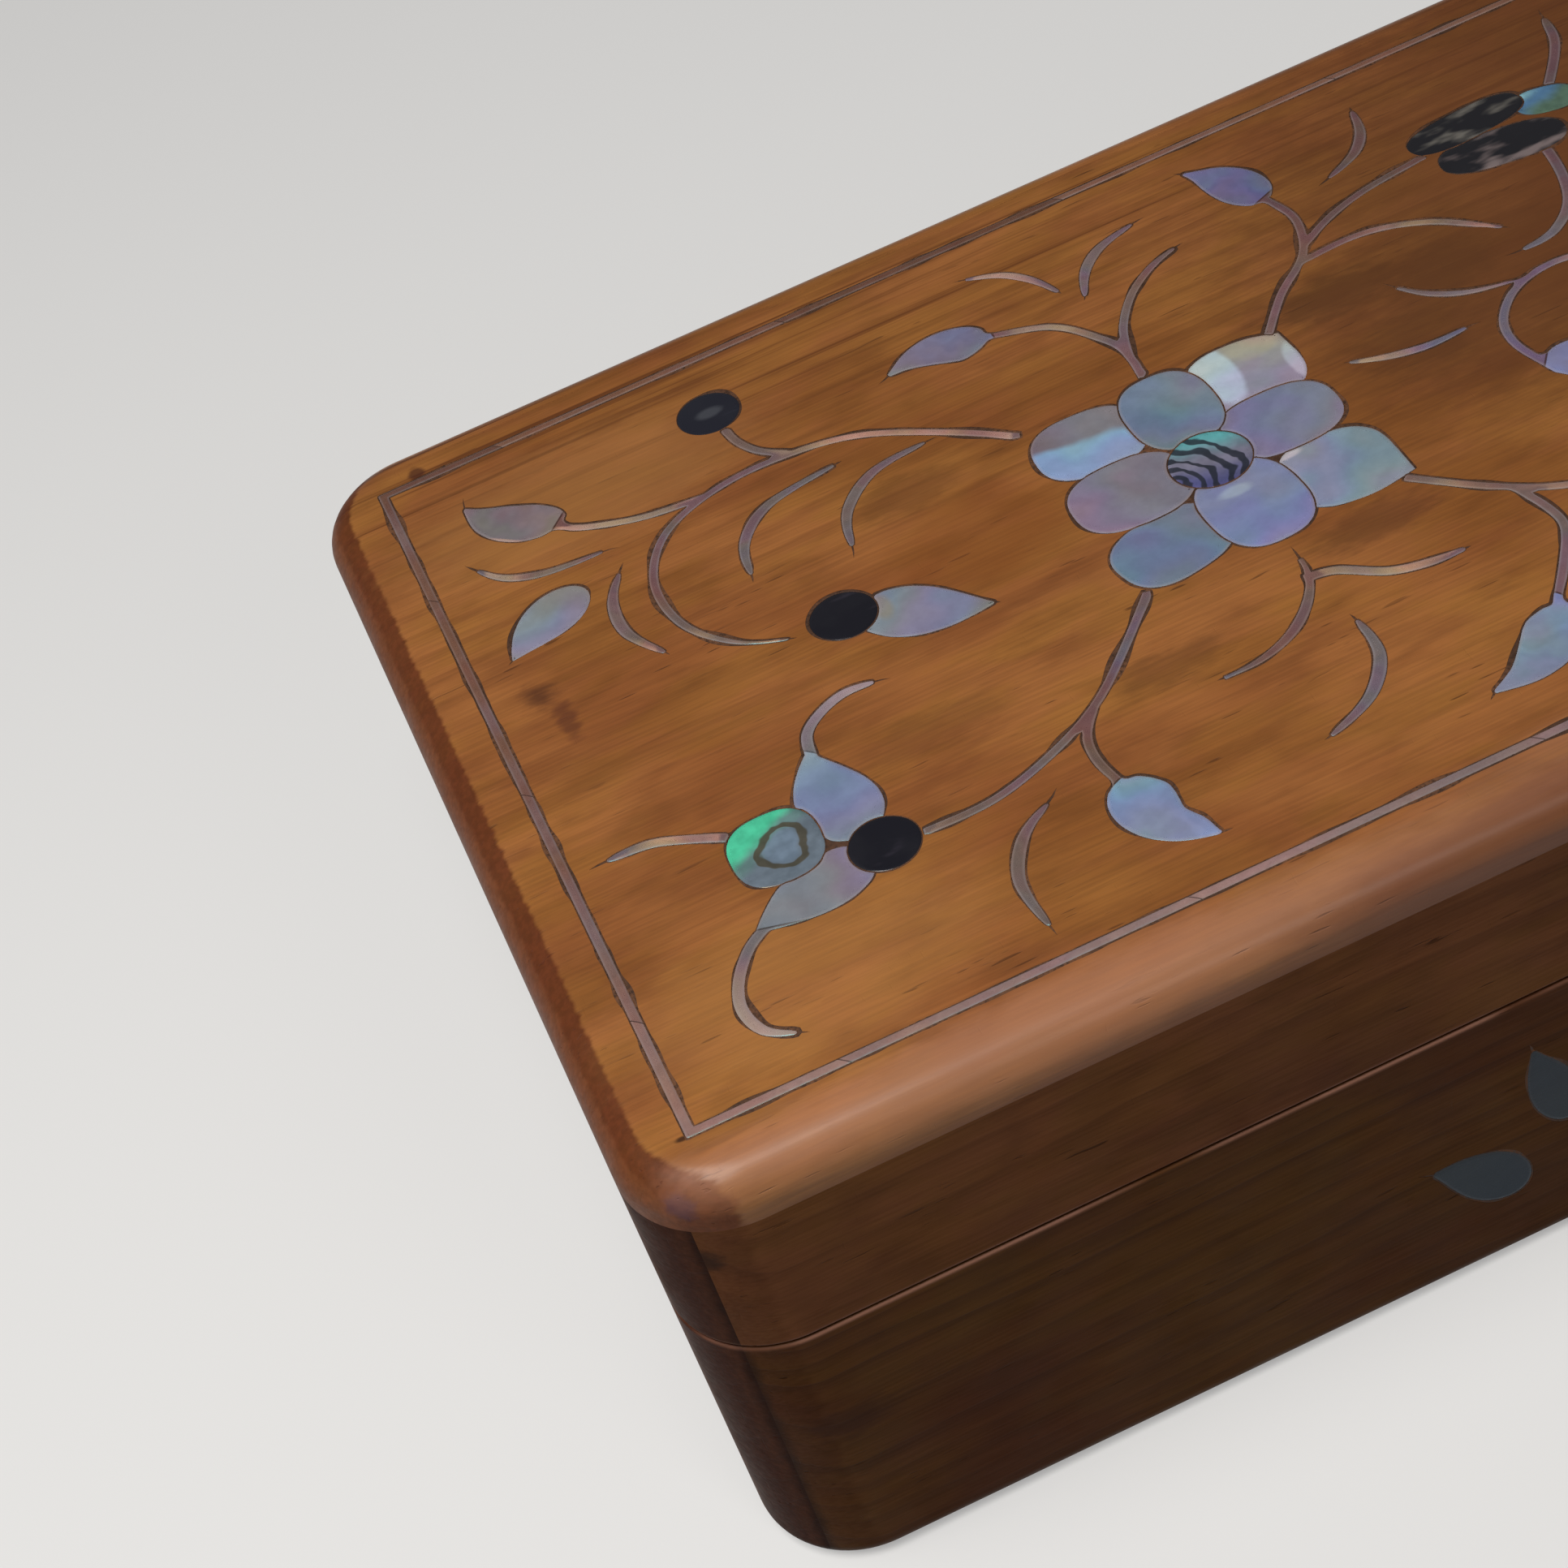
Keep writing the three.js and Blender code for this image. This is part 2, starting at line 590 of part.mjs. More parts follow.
const vinePieces = [
  pearlPiece(
    'vine_rear_left',
    leaf({ baseShares: [0.306, 1.196], tipShares: [0.187, 1.308], widthShare: 0.074, bowShare: 0.022 }),
    strip({
      placeShares: [
        [0.878, 0.957], [0.800, 1.028], [0.700, 1.098], [0.600, 1.123], [0.500, 1.118],
        [0.410, 1.075], [0.364, 0.990], [0.370, 0.890], [0.420, 0.814], [0.487, 0.775],
      ],
      width: stemWidth,
      profile: runOutWidth,
    }),
    strip({
      placeShares: [[0.480, 1.113], [0.400, 1.125], [0.340, 1.148], [0.306, 1.168], [0.282, 1.196]],
      width: stemWidth,
      profile: evenWidth,
    }),
    strip({
      placeShares: [[0.608, 1.124], [0.575, 1.155], [0.556, 1.195], [0.550, 1.240]],
      width: stemWidth,
      profile: evenWidth,
    }),
  ),
  pearlPiece(
    'vine_rear',
    leaf({ baseShares: [0.926, 1.180], tipShares: [0.772, 1.186], widthShare: 0.076, bowShare: -0.013 }),
    strip({
      placeShares: [[1.057, 0.955], [1.062, 1.030], [1.045, 1.080], [1.000, 1.145], [0.905, 1.186]],
      width: stemWidth,
      profile: evenWidth,
    }),
    strip({
      placeShares: [[1.060, 1.010], [1.080, 1.075], [1.120, 1.135], [1.170, 1.175], [1.218, 1.193]],
      width: stemWidth,
      profile: runOutWidth,
    }),
  ),
  pearlPiece(
    'vine_rear_right',
    leaf({ baseShares: [1.353, 1.202], tipShares: [1.290, 1.340], widthShare: 0.072, bowShare: -0.015 }),
    strip({
      placeShares: [
        [1.225, 0.935], [1.280, 1.005], [1.335, 1.055], [1.360, 1.100], [1.370, 1.155], [1.352, 1.225],
      ],
      width: stemWidth,
      profile: evenWidth,
    }),
    strip({
      placeShares: [
        [1.328, 1.050], [1.400, 1.055], [1.455, 1.045], [1.510, 1.015], [1.550, 0.975], [1.580, 0.940],
      ],
      width: stemWidth,
      profile: runOutWidth,
    }),
    strip({
      placeShares: [[1.352, 1.080], [1.410, 1.115], [1.480, 1.138], [1.580, 1.152]],
      width: stemWidth,
      profile: evenWidth,
    }),
  ),
  pearlPiece(
    'vine_front_left',
    leaf({ baseShares: [0.723, 0.314], tipShares: [0.788, 0.166], widthShare: 0.080, bowShare: -0.018 }),
    strip({
      placeShares: [
        [0.888, 0.588], [0.820, 0.512], [0.750, 0.444], [0.670, 0.398], [0.580, 0.369], [0.480, 0.370],
      ],
      width: stemWidth,
      profile: evenWidth,
    }),
    strip({
      placeShares: [[0.748, 0.443], [0.719, 0.400], [0.713, 0.350], [0.725, 0.290]],
      width: stemWidth,
      profile: evenWidth,
    }),
  ),
  pearlPiece(
    'vine_front_right',
    leaf({ baseShares: [1.280, 0.275], tipShares: [1.135, 0.188], widthShare: 0.076, bowShare: 0.017 }),
    leaf({ baseShares: [1.478, 0.670], tipShares: [1.605, 0.575], widthShare: 0.076, bowShare: 0.012 }),
    leaf({ baseShares: [1.812, 0.330], tipShares: [1.928, 0.214], widthShare: 0.074, bowShare: 0.018 }),
    strip({
      placeShares: [
        [1.235, 0.582], [1.310, 0.505], [1.380, 0.453], [1.480, 0.417], [1.580, 0.420],
        [1.680, 0.465], [1.745, 0.550], [1.755, 0.660], [1.710, 0.770], [1.620, 0.832],
        [1.540, 0.828], [1.485, 0.780], [1.470, 0.720], [1.488, 0.645],
      ],
      width: stemWidth,
      profile: evenWidth,
    }),
    strip({
      placeShares: [[1.332, 0.487], [1.348, 0.420], [1.338, 0.370], [1.262, 0.262]],
      width: stemWidth,
      profile: evenWidth,
    }),
    strip({
      placeShares: [[1.400, 0.930], [1.430, 0.886], [1.475, 0.853], [1.545, 0.832]],
      width: fineCrescentWidth,
      profile: spindleWidth,
    }),
    strip({
      placeShares: [[1.660, 0.452], [1.715, 0.410], [1.770, 0.370], [1.828, 0.318]],
      width: stemWidth,
      profile: evenWidth,
    }),
    strip({
      placeShares: [[1.515, 0.416], [1.550, 0.370], [1.562, 0.325], [1.565, 0.280]],
      width: stemWidth,
      profile: evenWidth,
    }),
  ),
];

const sprigPieces = [
  pearlPiece('tendril_front_left', strip({
    placeShares: [[0.300, 0.492], [0.245, 0.525], [0.200, 0.545], [0.142, 0.548]],
    width: stemWidth,
    profile: runOutWidth,
  })),
  pearlPiece('tendril_right_rear', strip({
    placeShares: [[1.775, 1.175], [1.820, 1.235], [1.845, 1.280], [1.858, 1.335]],
    width: stemWidth,
    profile: runOutWidth,
  })),
  pearlPiece('tendril_right_front', strip({
    placeShares: [[1.710, 1.080], [1.695, 1.000], [1.668, 0.935], [1.620, 0.893], [1.565, 0.885]],
    width: stemWidth,
    profile: runOutWidth,
  })),
  pearlPiece(
    'sprig_front',
    strip({
      placeShares: [
        [1.065, 0.538], [1.058, 0.490], [1.030, 0.445], [0.990, 0.412], [0.940, 0.395], [0.882, 0.394],
      ],
      width: sprigWidth,
      profile: spindleWidth,
    }),
    strip({
      placeShares: [[1.050, 0.492], [1.090, 0.482], [1.140, 0.443], [1.190, 0.427], [1.240, 0.423]],
      width: sprigWidth,
      profile: runOutWidth,
    }),
  ),
];

const crescents = [
  {
    name: 'crescent_left_rear',
    width: fineCrescentWidth,
    placeShares: [[0.163, 1.172], [0.195, 1.128], [0.250, 1.102], [0.340, 1.093]],
  },
  {
    name: 'crescent_left',
    width: crescentWidth,
    placeShares: [[0.334, 1.044], [0.305, 0.990], [0.302, 0.920], [0.338, 0.845]],
  },
  {
    name: 'crescent_scroll_outer',
    width: crescentWidth,
    placeShares: [[0.478, 0.918], [0.492, 0.988], [0.548, 1.043], [0.668, 1.064]],
  },
  {
    name: 'crescent_scroll_inner',
    width: crescentWidth,
    placeShares: [[0.608, 0.885], [0.628, 0.960], [0.688, 1.016], [0.778, 1.028]],
  },
  {
    name: 'crescent_rear_left',
    width: fineCrescentWidth,
    placeShares: [[0.940, 1.321], [0.992, 1.295], [1.025, 1.253], [1.046, 1.197]],
  },
  {
    name: 'crescent_rear_right',
    width: crescentWidth,
    placeShares: [[1.066, 1.168], [1.090, 1.222], [1.130, 1.260], [1.195, 1.281]],
  },
  {
    name: 'crescent_right_rear',
    width: crescentWidth,
    placeShares: [[1.442, 1.190], [1.500, 1.220], [1.532, 1.262], [1.546, 1.318]],
  },
  {
    name: 'crescent_right',
    width: fineCrescentWidth,
    placeShares: [[1.278, 0.826], [1.330, 0.802], [1.385, 0.789], [1.448, 0.791]],
  },
  {
    name: 'crescent_front_left',
    width: crescentWidth,
    placeShares: [[0.640, 0.330], [0.590, 0.295], [0.557, 0.230], [0.560, 0.140]],
  },
  {
    name: 'crescent_front',
    width: crescentWidth,
    placeShares: [[1.069, 0.398], [1.065, 0.325], [1.020, 0.265], [0.945, 0.231]],
  },
];

const crescentPieces = crescents.map(({ name, width, placeShares }) => pearlPiece(
  name,
  strip({ placeShares, width, profile: spindleWidth }),
));

// The front board's spray lies in the plane of the front face, in X and Z:
// a leaf to either side, mirrored about the spray's middle, and one upright
const sprayMiddleShare = 1.066;
const sprayLeafShares = { base: [0.061, 0.268], tip: [0.177, 0.491], width: 0.078, bow: 0.010 };

function sprayLeaf(side) {
  const turned = ([shareX, shareZ]) => [sprayMiddleShare + side * shareX, shareZ];
  return leaf({
    baseShares: turned(sprayLeafShares.base),
    tipShares: turned(sprayLeafShares.tip),
    widthShare: sprayLeafShares.width,
    bowShare: side * sprayLeafShares.bow,
    place: onFront,
  });
}

const sprayPieces = [
  pearlPiece('spray_left_leaf', sprayLeaf(-1)),
  pearlPiece('spray_right_leaf', sprayLeaf(1)),
  pearlPiece('spray_middle_leaf', leaf({
    baseShares: [1.083, 0.464],
    tipShares: [1.041, 0.798],
    widthShare: 0.062,
    bowShare: 0.004,
    place: onFront,
  })),
];

// Lets the pieces in: fits each to those before it and gathers their pockets
function fitInlay(parent, pieces) {
  let taken = null;
  const cutLow = -overrun;
  const cutHigh = shellThickness + overrun;
  for (const { name, finish, outlines } of pieces) {
    const shapes = outlines.map((outline) => plate(outline(0), 0, shellThickness));
    const rooms = outlines.map((outline) => plate(outline(inlayGap), cutLow, cutHigh));
    const whole = shapes.reduce((sum, shape) => sum.add(shape));
    const fitted = taken === null ? whole : whole.subtract(taken);
    addCentredMesh(parent, name, largestBody(fitted), finish);
    const room = rooms.reduce((sum, shape) => sum.add(shape));
    taken = taken === null ? room : taken.add(room);
  }
  return taken;
}

// The stringing runs round the lid at an even distance from its faces
function stringingFrame(low, high, grow) {
  const half = stringingWidth / 2 + grow;
  const x = halfLength - stringingInset;
  const y = halfDepth - stringingInset;
  const outside = block(-x - half, x + half, -y - half, y + half, low, high);
  return outside.subtract(block(-x + half, x - half, -y + half, y - half, low - overrun, high + overrun));
}

// Assembly

const inlaidBox = new THREE.Group();
const lid = new THREE.Group();
lid.position.z = lidBase;
inlaidBox.add(lid);

const topInlay = new THREE.Group();
topInlay.position.z = lidHeight - shellThickness;
lid.add(topInlay);

const topPieces = [
  ...flowerPieces,
  ...discPieces,
  ...blossomPieces,
  ...loosePieces,
  ...vinePieces,
  ...sprigPieces,
  ...crescentPieces,
];
const topRooms = fitInlay(topInlay, topPieces);
const stringing = stringingFrame(0, shellThickness, 0);
addMesh(topInlay, 'stringing', stringing, pearl);
const allTopRooms = topRooms.add(stringingFrame(-overrun, shellThickness + overrun, inlayGap));
const pocketSlab = block(-halfLength, halfLength, -halfDepth, halfDepth, 0, shellThickness + overrun);
const topPockets = allTopRooms.intersect(pocketSlab).translate([0, 0, lidHeight - shellThickness]);

// Turned up about X, the spray's plane becomes the front face
const frontInlay = new THREE.Group();
frontInlay.position.set(0, shellThickness - halfDepth, 0);
frontInlay.rotation.x = Math.PI / 2;
inlaidBox.add(frontInlay);

const frontRooms = fitInlay(frontInlay, sprayPieces);
const frontSlab = block(-halfLength, halfLength, 0, bodyHeight, 0, shellThickness + overrun);
const frontPockets = frontRooms
  .intersect(frontSlab)
  .rotate([90, 0, 0])
  .translate([0, shellThickness - halfDepth, 0]);

buildBody(inlaidBox, frontPockets);
buildLid(lid, topPockets);
buildHinges(inlaidBox, lid);

export default inlaidBox;
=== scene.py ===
"""Looks of a small wooden box with a hinged lid, inlaid with shell and dark horn.

Metres, +Z up. +X runs along the length, the front faces -Y, and the origin lies
in the middle of the underside.
"""

import logging
import math
import random
from collections.abc import Callable, Sequence
from dataclasses import dataclass
from enum import Enum
from itertools import accumulate

import bmesh
import bpy
from bpy.types import Material, Mesh, Node, NodeSocket, NodeTree, Object
from mathutils import Matrix, Vector, kdtree, noise
from mathutils.geometry import convex_hull_2d, delaunay_2d_cdt


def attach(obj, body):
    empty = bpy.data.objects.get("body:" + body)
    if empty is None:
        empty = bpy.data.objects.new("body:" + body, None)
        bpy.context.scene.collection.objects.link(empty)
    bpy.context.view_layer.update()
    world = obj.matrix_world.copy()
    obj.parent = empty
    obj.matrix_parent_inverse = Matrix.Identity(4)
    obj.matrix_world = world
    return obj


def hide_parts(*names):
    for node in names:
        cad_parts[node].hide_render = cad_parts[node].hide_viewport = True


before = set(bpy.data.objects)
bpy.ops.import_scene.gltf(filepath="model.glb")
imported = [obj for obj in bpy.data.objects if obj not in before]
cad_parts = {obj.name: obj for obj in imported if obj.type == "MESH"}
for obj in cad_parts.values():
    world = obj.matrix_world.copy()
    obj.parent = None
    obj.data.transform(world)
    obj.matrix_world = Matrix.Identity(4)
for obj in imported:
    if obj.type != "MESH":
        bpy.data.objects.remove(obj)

LOG = logging.getLogger("inlaid_box")
MM = 0.001
SKIN = 0.025 * MM
"""How far the wood lies below the shell, which stands a hair proud of it."""
SHARP = 1.6
"""How far an outline turns at a point that counts as sharp, in radians."""
SHEEN_WAY = Vector((0.57, 0.82))
# The way across a stretch of shell that gets a painted highlight, as if it gleamed towards the camera.
"""The way across a stretch of shell that gleams towards the photograph's camera."""
SHEEN_REACH = 3
# How many points to either side the painted highlight is levelled out over.
"""How many points to either side the gleam is levelled out over."""
SHARP_EDGE = 32.0
"""How many degrees an edge turns by that isn't shaded smooth."""

Colour = tuple[float, float, float]
Loop = list[Vector]
Levels = list[tuple[float, float]]


# Planes and outlines


@dataclass(frozen=True)
class InlayPlane:
    """A flat face of the case that inlay is let into.

    Args:
        level: How far out the face lies from the origin, along its outward normal.
        upright: True for the front face, False for the lid's top.
    """

    level: float
    upright: bool = False

    def flat(self, co: Vector) -> Vector:
        """Returns the two coordinates of a point within the face."""
        return Vector((co.x, co.z)) if self.upright else Vector((co.x, co.y))

    def out(self, co: Vector) -> float:
        """Returns how far out a point lies, along the face's normal."""
        return -co.y if self.upright else co.z

    def place(self, point: Vector, below: float) -> Vector:
        """Returns the point in space that lies below the face by so much."""
        out = self.level - below
        return Vector((point.x, -out, point.y)) if self.upright else Vector((point.x, point.y, out))


TOP = InlayPlane(level=74 * MM)
FRONT = InlayPlane(level=75 * MM, upright=True)


def boundary_loops(node: str, plane: InlayPlane) -> list[Loop]:
    """Finds the outlines of the part of a node that lies in a face.

    Args:
        node: The CAD node's name.
        plane: The face.

    Returns:
        Closed outlines, each with the material on its left.
    """
    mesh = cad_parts[node].data
    ahead: dict[tuple, list[tuple]] = {}
    places: dict[tuple, Vector] = {}
    for polygon in mesh.polygons:
        corners = [mesh.vertices[i].co for i in polygon.vertices]
        if any(abs(plane.out(co) - plane.level) > 0.01 * MM for co in corners):
            continue
        keys = [tuple(round(value / MM, 3) for value in co) for co in corners]
        places.update(zip(keys, (plane.flat(co) for co in corners)))
        for start, end in zip(keys, keys[1:] + keys[:1]):
            if start in ahead.get(end, []):
                ahead[end].remove(start)
            else:
                ahead.setdefault(start, []).append(end)
    loops = []
    for first in list(ahead):
        while ahead[first]:
            here = ahead[first].pop()
            loop = [places[first]]
            while here != first:
                loop.append(places[here])
                here = ahead[here].pop()
            loops.append(loop)
    return loops


def area(loop: Loop) -> float:
    """Returns the area of an outline, negative where it runs clockwise."""
    return sum(a.x * b.y - b.x * a.y for a, b in zip(loop, loop[1:] + loop[:1])) / 2


def turning(before: Vector, here: Vector, after: Vector) -> float:
    """Returns how far an outline turns at a point, in radians, positive to the left."""
    into, out = here - before, after - here
    return math.atan2(into.x * out.y - into.y * out.x, into.dot(out))


def tidied(loop: Loop, least: float = 0.03 * MM) -> Loop:
    """Returns the outline without points that lie on each other or on a straight stretch."""
    kept = [p for i, p in enumerate(loop) if (p - loop[i - 1]).length > least]
    around = zip(kept[-1:] + kept[:-1], kept, kept[1:] + kept[:1])
    return [here for before, here, after in around if abs(turning(before, here, after)) > 0.002]


def pointed(loop: Loop, blunt: float = 0.75 * MM) -> Loop:
    """Joins the two corners of each narrow blunt end of an outline into one point."""
    after = loop[1:] + loop[:1]
    corner = [turning(a, b, c) > 0.9 for a, b, c in zip(loop[-1:] + loop[:-1], loop, after)]
    both = [a and b for a, b in zip(corner, corner[1:] + corner[:1])]
    ends = [two and (b - a).length < blunt for two, a, b in zip(both, loop, after)]
    joined = zip(loop, after, ends, ends[-1:] + ends[:-1])
    return [(a + b) / 2 if end else a for a, b, end, done in joined if not done]


def blunted(loop: Loop, least: float = 0.42 * MM) -> Loop:
    """Cuts the points of an outline off where they are narrow, and rounds the ends.

    Args:
        loop: The outline.
        least: The width at which a point is cut off.

    Returns:
        The outline with blunt ends.
    """
    count, gone, ends = len(loop), set(), {}
    for i, here in enumerate(loop):
        if turning(loop[i - 1], here, loop[(i + 1) % count]) < SHARP:
            continue
        for reach in range(1, min(12, count // 4)):
            left, right = loop[i - reach], loop[(i + reach) % count]
            if (left - right).length > least:
                middle = (left + right) / 2
                ends[i] = middle + (here - middle).normalized() * least * 0.35
                gone.update((i + step) % count for step in range(1 - reach, reach) if step)
                break
    return [ends.get(i, here) for i, here in enumerate(loop) if i not in gone]


def outward(loop: Loop) -> list[Vector]:
    """Returns the direction away from the material at each point of an outline."""
    ways = []
    for before, here, after in zip(loop[-1:] + loop[:-1], loop, loop[1:] + loop[:1]):
        along = (here - before).normalized() + (after - here).normalized()
        if along.length < 1e-6:
            along = after - here
        along.normalize()
        ways.append(Vector((along.y, -along.x)))
    return ways


def offset(loop: Loop, far: float | Sequence[float]) -> Loop:
    """Moves an outline away from its material, by one distance or by one for each point."""
    steps = [far] * len(loop) if isinstance(far, float) else far
    return [here + way * step for here, way, step in zip(loop, outward(loop), steps)]


def widths(loops: Sequence[Loop], most: float) -> list[list[float]]:
    """Measures how wide the material is, straight across from each point.

    Args:
        loops: The outlines of one shape.
        most: A width past which nothing is looked for.

    Returns:
        The width at each point of each outline.
    """
    points = [point for loop in loops for point in loop]
    ways = [way for loop in loops for way in outward(loop)]
    tree = kdtree.KDTree(len(points))
    for number, point in enumerate(points):
        tree.insert(point.to_3d(), number)
    tree.balance()
    found = []
    for here, way in zip(points, ways):
        across = [
            away
            for _, i, away in tree.find_range(here.to_3d(), most)
            if (here - points[i]).dot(way) > 0.85 * away > 0 and ways[i].dot(way) < -0.5
        ]
        found.append(min(across, default=most))
    result = []
    for loop in loops:
        own, found = found[: len(loop)], found[len(loop) :]
        result.append([min(own[(i + step) % len(own)] for step in range(-2, 3)) for i in range(len(own))])
    return result


def slimmed(loops: Sequence[Loop], slimmer: float, fuller: float, narrow: float = 2.4 * MM) -> list[Loop]:
    """Draws outlines in where they are narrow, and lets them out elsewhere.

    Args:
        loops: The outlines of one shape.
        slimmer: How far the edges of a narrow stretch are drawn in.
        fuller: How far the other edges are let out.
        narrow: The width that counts as narrow.

    Returns:
        The outlines.
    """
    result = []
    for loop, across in zip(loops, widths(loops, narrow)):
        count, reach, moves = len(loop), min(6, len(loop) // 4), []
        for i in range(count):
            around = [across[(i + step) % count] for step in range(-reach, reach + 1)]
            full = min(1.0, max(0.0, sum(around) / len(around) / narrow * 3 - 2))
            moves.append(fuller * full - min(slimmer, across[i] * 0.2) * (1 - full))
        result.append(offset(loop, moves))
    return result


def smoothed(loop: Loop, corner: float = 62.0, spacing: float = 0.45 * MM) -> Loop:
    """Rounds a faceted outline between its sharp corners.

    Args:
        loop: The faceted outline.
        corner: A point that turns by more degrees than this stays sharp.
        spacing: The distance between the new points.

    Returns:
        The outline, on a centripetal spline through its points.
    """
    points = pointed(tidied(loop))
    count = len(points)
    sharp = [
        abs(turning(points[i - 1], points[i], points[(i + 1) % count])) > math.radians(corner)
        for i in range(count)
    ]
    result = []
    for i, here in enumerate(points):
        after = points[(i + 1) % count]
        before = here * 2 - after if sharp[i] else points[i - 1]
        beyond = after * 2 - here if sharp[(i + 1) % count] else points[(i + 2) % count]
        root_in, root, root_out = (
            math.sqrt(max((b - a).length, 1e-9)) for a, b in ((before, here), (here, after), (after, beyond))
        )
        span = after - here
        leave = span + ((here - before) / root_in - (after - before) / (root_in + root)) * root
        enter = span + ((beyond - after) / root_out - (beyond - here) / (root + root_out)) * root
        steps = max(1, round(span.length / spacing))
        for step in range(steps):
            t = step / steps
            result.append(
                here * (2 * t**3 - 3 * t**2 + 1)
                + leave * (t**3 - 2 * t**2 + t)
                + after * (3 * t**2 - 2 * t**3)
                + enter * (t**3 - t**2)
            )
    return result


def united(loops: Sequence[Loop]) -> tuple[Loop, list[tuple[int, int, int]], list[list[int]]]:
    """Joins outlines that overlap, and takes away what lies in an outline that runs the other way round.

    Args:
        loops: The outlines, each with its material on its left.

    Returns:
        All points, the triangles that fill the joined shape, and its outlines, both as numbers of points.
    """
    points = [point / MM for loop in loops for point in loop]
    edges, start = [], 0
    for loop in loops:
        edges += [(start + i, start + (i + 1) % len(loop)) for i in range(len(loop))]
        start += len(loop)
    made, lines, faces, _, sources, _ = delaunay_2d_cdt(points, edges, [], 0, 1e-6)
    rise: dict[tuple[int, int], int] = {}
    for (a, b), own in zip(lines, sources):
        given = [points[edges[i][1]] - points[edges[i][0]] for i in own if i < len(edges)]
        rise[a, b] = sum(1 if way.dot(made[b] - made[a]) > 0 else -1 for way in given)
        rise[b, a] = -rise[a, b]
    pairs = [list(zip(face, face[1:] + face[:1])) for face in faces]
    owner = {pair: number for number, own in enumerate(pairs) for pair in own}
    depth: dict[int, int] = {}
    waiting = [(n, rise.get(pair, 0)) for pair, n in owner.items() if pair[::-1] not in owner]
    while waiting:
        number, level = waiting.pop()
        if number in depth:
            continue
        depth[number] = level
        for pair in pairs[number]:
            if owner.get(pair[::-1], number) not in depth:
                waiting.append((owner[pair[::-1]], level - rise.get(pair, 0)))
    kept = [n for n in range(len(faces)) if depth.get(n, 0) > 0]
    ahead: dict[int, list[int]] = {}
    for a, b in (pair for n in kept for pair in pairs[n]):
        if depth.get(owner.get((b, a)), 0) <= 0:
            ahead.setdefault(a, []).append(b)
    chains = []
    for first in list(ahead):
        while ahead[first]:
            here, chain = ahead[first].pop(), [first]
            while here != first:
                chain.append(here)
                here = ahead[here].pop()
            chains.append(chain)
    return [point * MM for point in made], [tuple(faces[n]) for n in kept], chains


def outlines_of(loops: Sequence[Loop]) -> list[Loop]:
    """Returns the outlines of the shape that several outlines make together."""
    points, _, chains = united(loops)
    return [[points[i] for i in chain] for chain in chains]


def filled(loops: Sequence[Loop]) -> list[tuple[int, int, int]]:
    """Fills outlines that don't cross with triangles, as numbers of all their points in order."""
    points, faces, _ = united(loops)
    given = [point for loop in loops for point in loop]
    if len(points) != len(given):
        tree = kdtree.KDTree(len(given))
        for number, point in enumerate(given):
            tree.insert(point.to_3d(), number)
        tree.balance()
        near = [tree.find(point.to_3d())[1] for point in points]
        faces = [tuple(near[i] for i in face) for face in faces]
    return [face for face in faces if len(set(face)) == 3]


def prism(name: str, loops: Sequence[Loop], plane: InlayPlane, levels: Levels) -> Mesh:
    """Builds a closed solid from outlines, whose points know how near to the edge they lie.

    Args:
        name: The new mesh's name.
        loops: Outlines with the material on their left.
        plane: The face that the outlines lie in.
        levels: From the bottom up, how far below the face each ring lies and how far it is drawn in.

    Returns:
        The solid's mesh.
    """
    vertices, faces, most = [], [], levels[-1][1]
    across = widths(loops, most * 4) if most else [[0.0] * len(loop) for loop in loops]
    for below, drawn in levels:
        ring = [offset(loop, [-min(drawn, 0.3 * room) for room in own]) for loop, own in zip(loops, across)]
        vertices += [plane.place(point, below) for loop in ring for point in loop]
    per_ring = sum(len(loop) for loop in loops)
    for start in range(0, per_ring * (len(levels) - 1), per_ring):
        for loop in loops:
            count = len(loop)
            for i in range(count):
                low, following = start + i, start + (i + 1) % count
                faces.append((low, following, following + per_ring, low + per_ring))
            start += count
    cap = filled(loops)
    last = (len(levels) - 1) * per_ring
    faces += [tuple(reversed(face)) for face in cap]
    faces += [tuple(last + i for i in face) for face in cap]
    mesh = new_mesh(name, vertices, faces)
    mesh.validate()
    if most:
        rim = mesh.attributes.new("rim", "FLOAT", "POINT")
        rim.data.foreach_set("value", [1.0] * last + [0.0] * per_ring)
        # The lie of each stretch of outline, which places the painted highlight on the shell.
        lie = mesh.attributes.new("lie", "FLOAT", "POINT")
        lies = []
        for loop in loops:
            own = [abs(way.dot(SHEEN_WAY)) for way in outward(loop)]
            near = range(-SHEEN_REACH, SHEEN_REACH + 1)
            lies += [sum(own[(i + step) % len(own)] for step in near) / len(near) for i in range(len(own))]
        lie.data.foreach_set("value", lies * len(levels))
    return mesh


# Meshes and objects


def new_object(name: str, mesh: Mesh) -> Object:
    """Returns a new object in the scene that shows a mesh."""
    obj = bpy.data.objects.new(name, mesh)
    bpy.context.scene.collection.objects.link(obj)
    return obj


def settled(obj: Object) -> Mesh:
    """Turns an object and its modifiers into a plain mesh and removes the object."""
    bpy.context.view_layer.update()
    graph = bpy.context.evaluated_depsgraph_get()
    mesh = bpy.data.meshes.new_from_object(obj.evaluated_get(graph), depsgraph=graph)
    bpy.data.objects.remove(obj)
    return mesh


def new_mesh(name: str, points: Sequence, faces: Sequence, edges: Sequence = ()) -> Mesh:
    """Returns a mesh of points and faces, or of points and edges."""
    mesh = bpy.data.meshes.new(name)
    mesh.from_pydata(points, edges, faces)
    return mesh


def bands(count: int, rings: int) -> list[tuple[int, ...]]:
    """Returns the faces between rings of so many points, each ring following the one below it."""
    return [
        (low + i, low + (i + 1) % count, low + count + (i + 1) % count, low + count + i)
        for low in range(0, count * (rings - 1), count)
        for i in range(count)
    ]


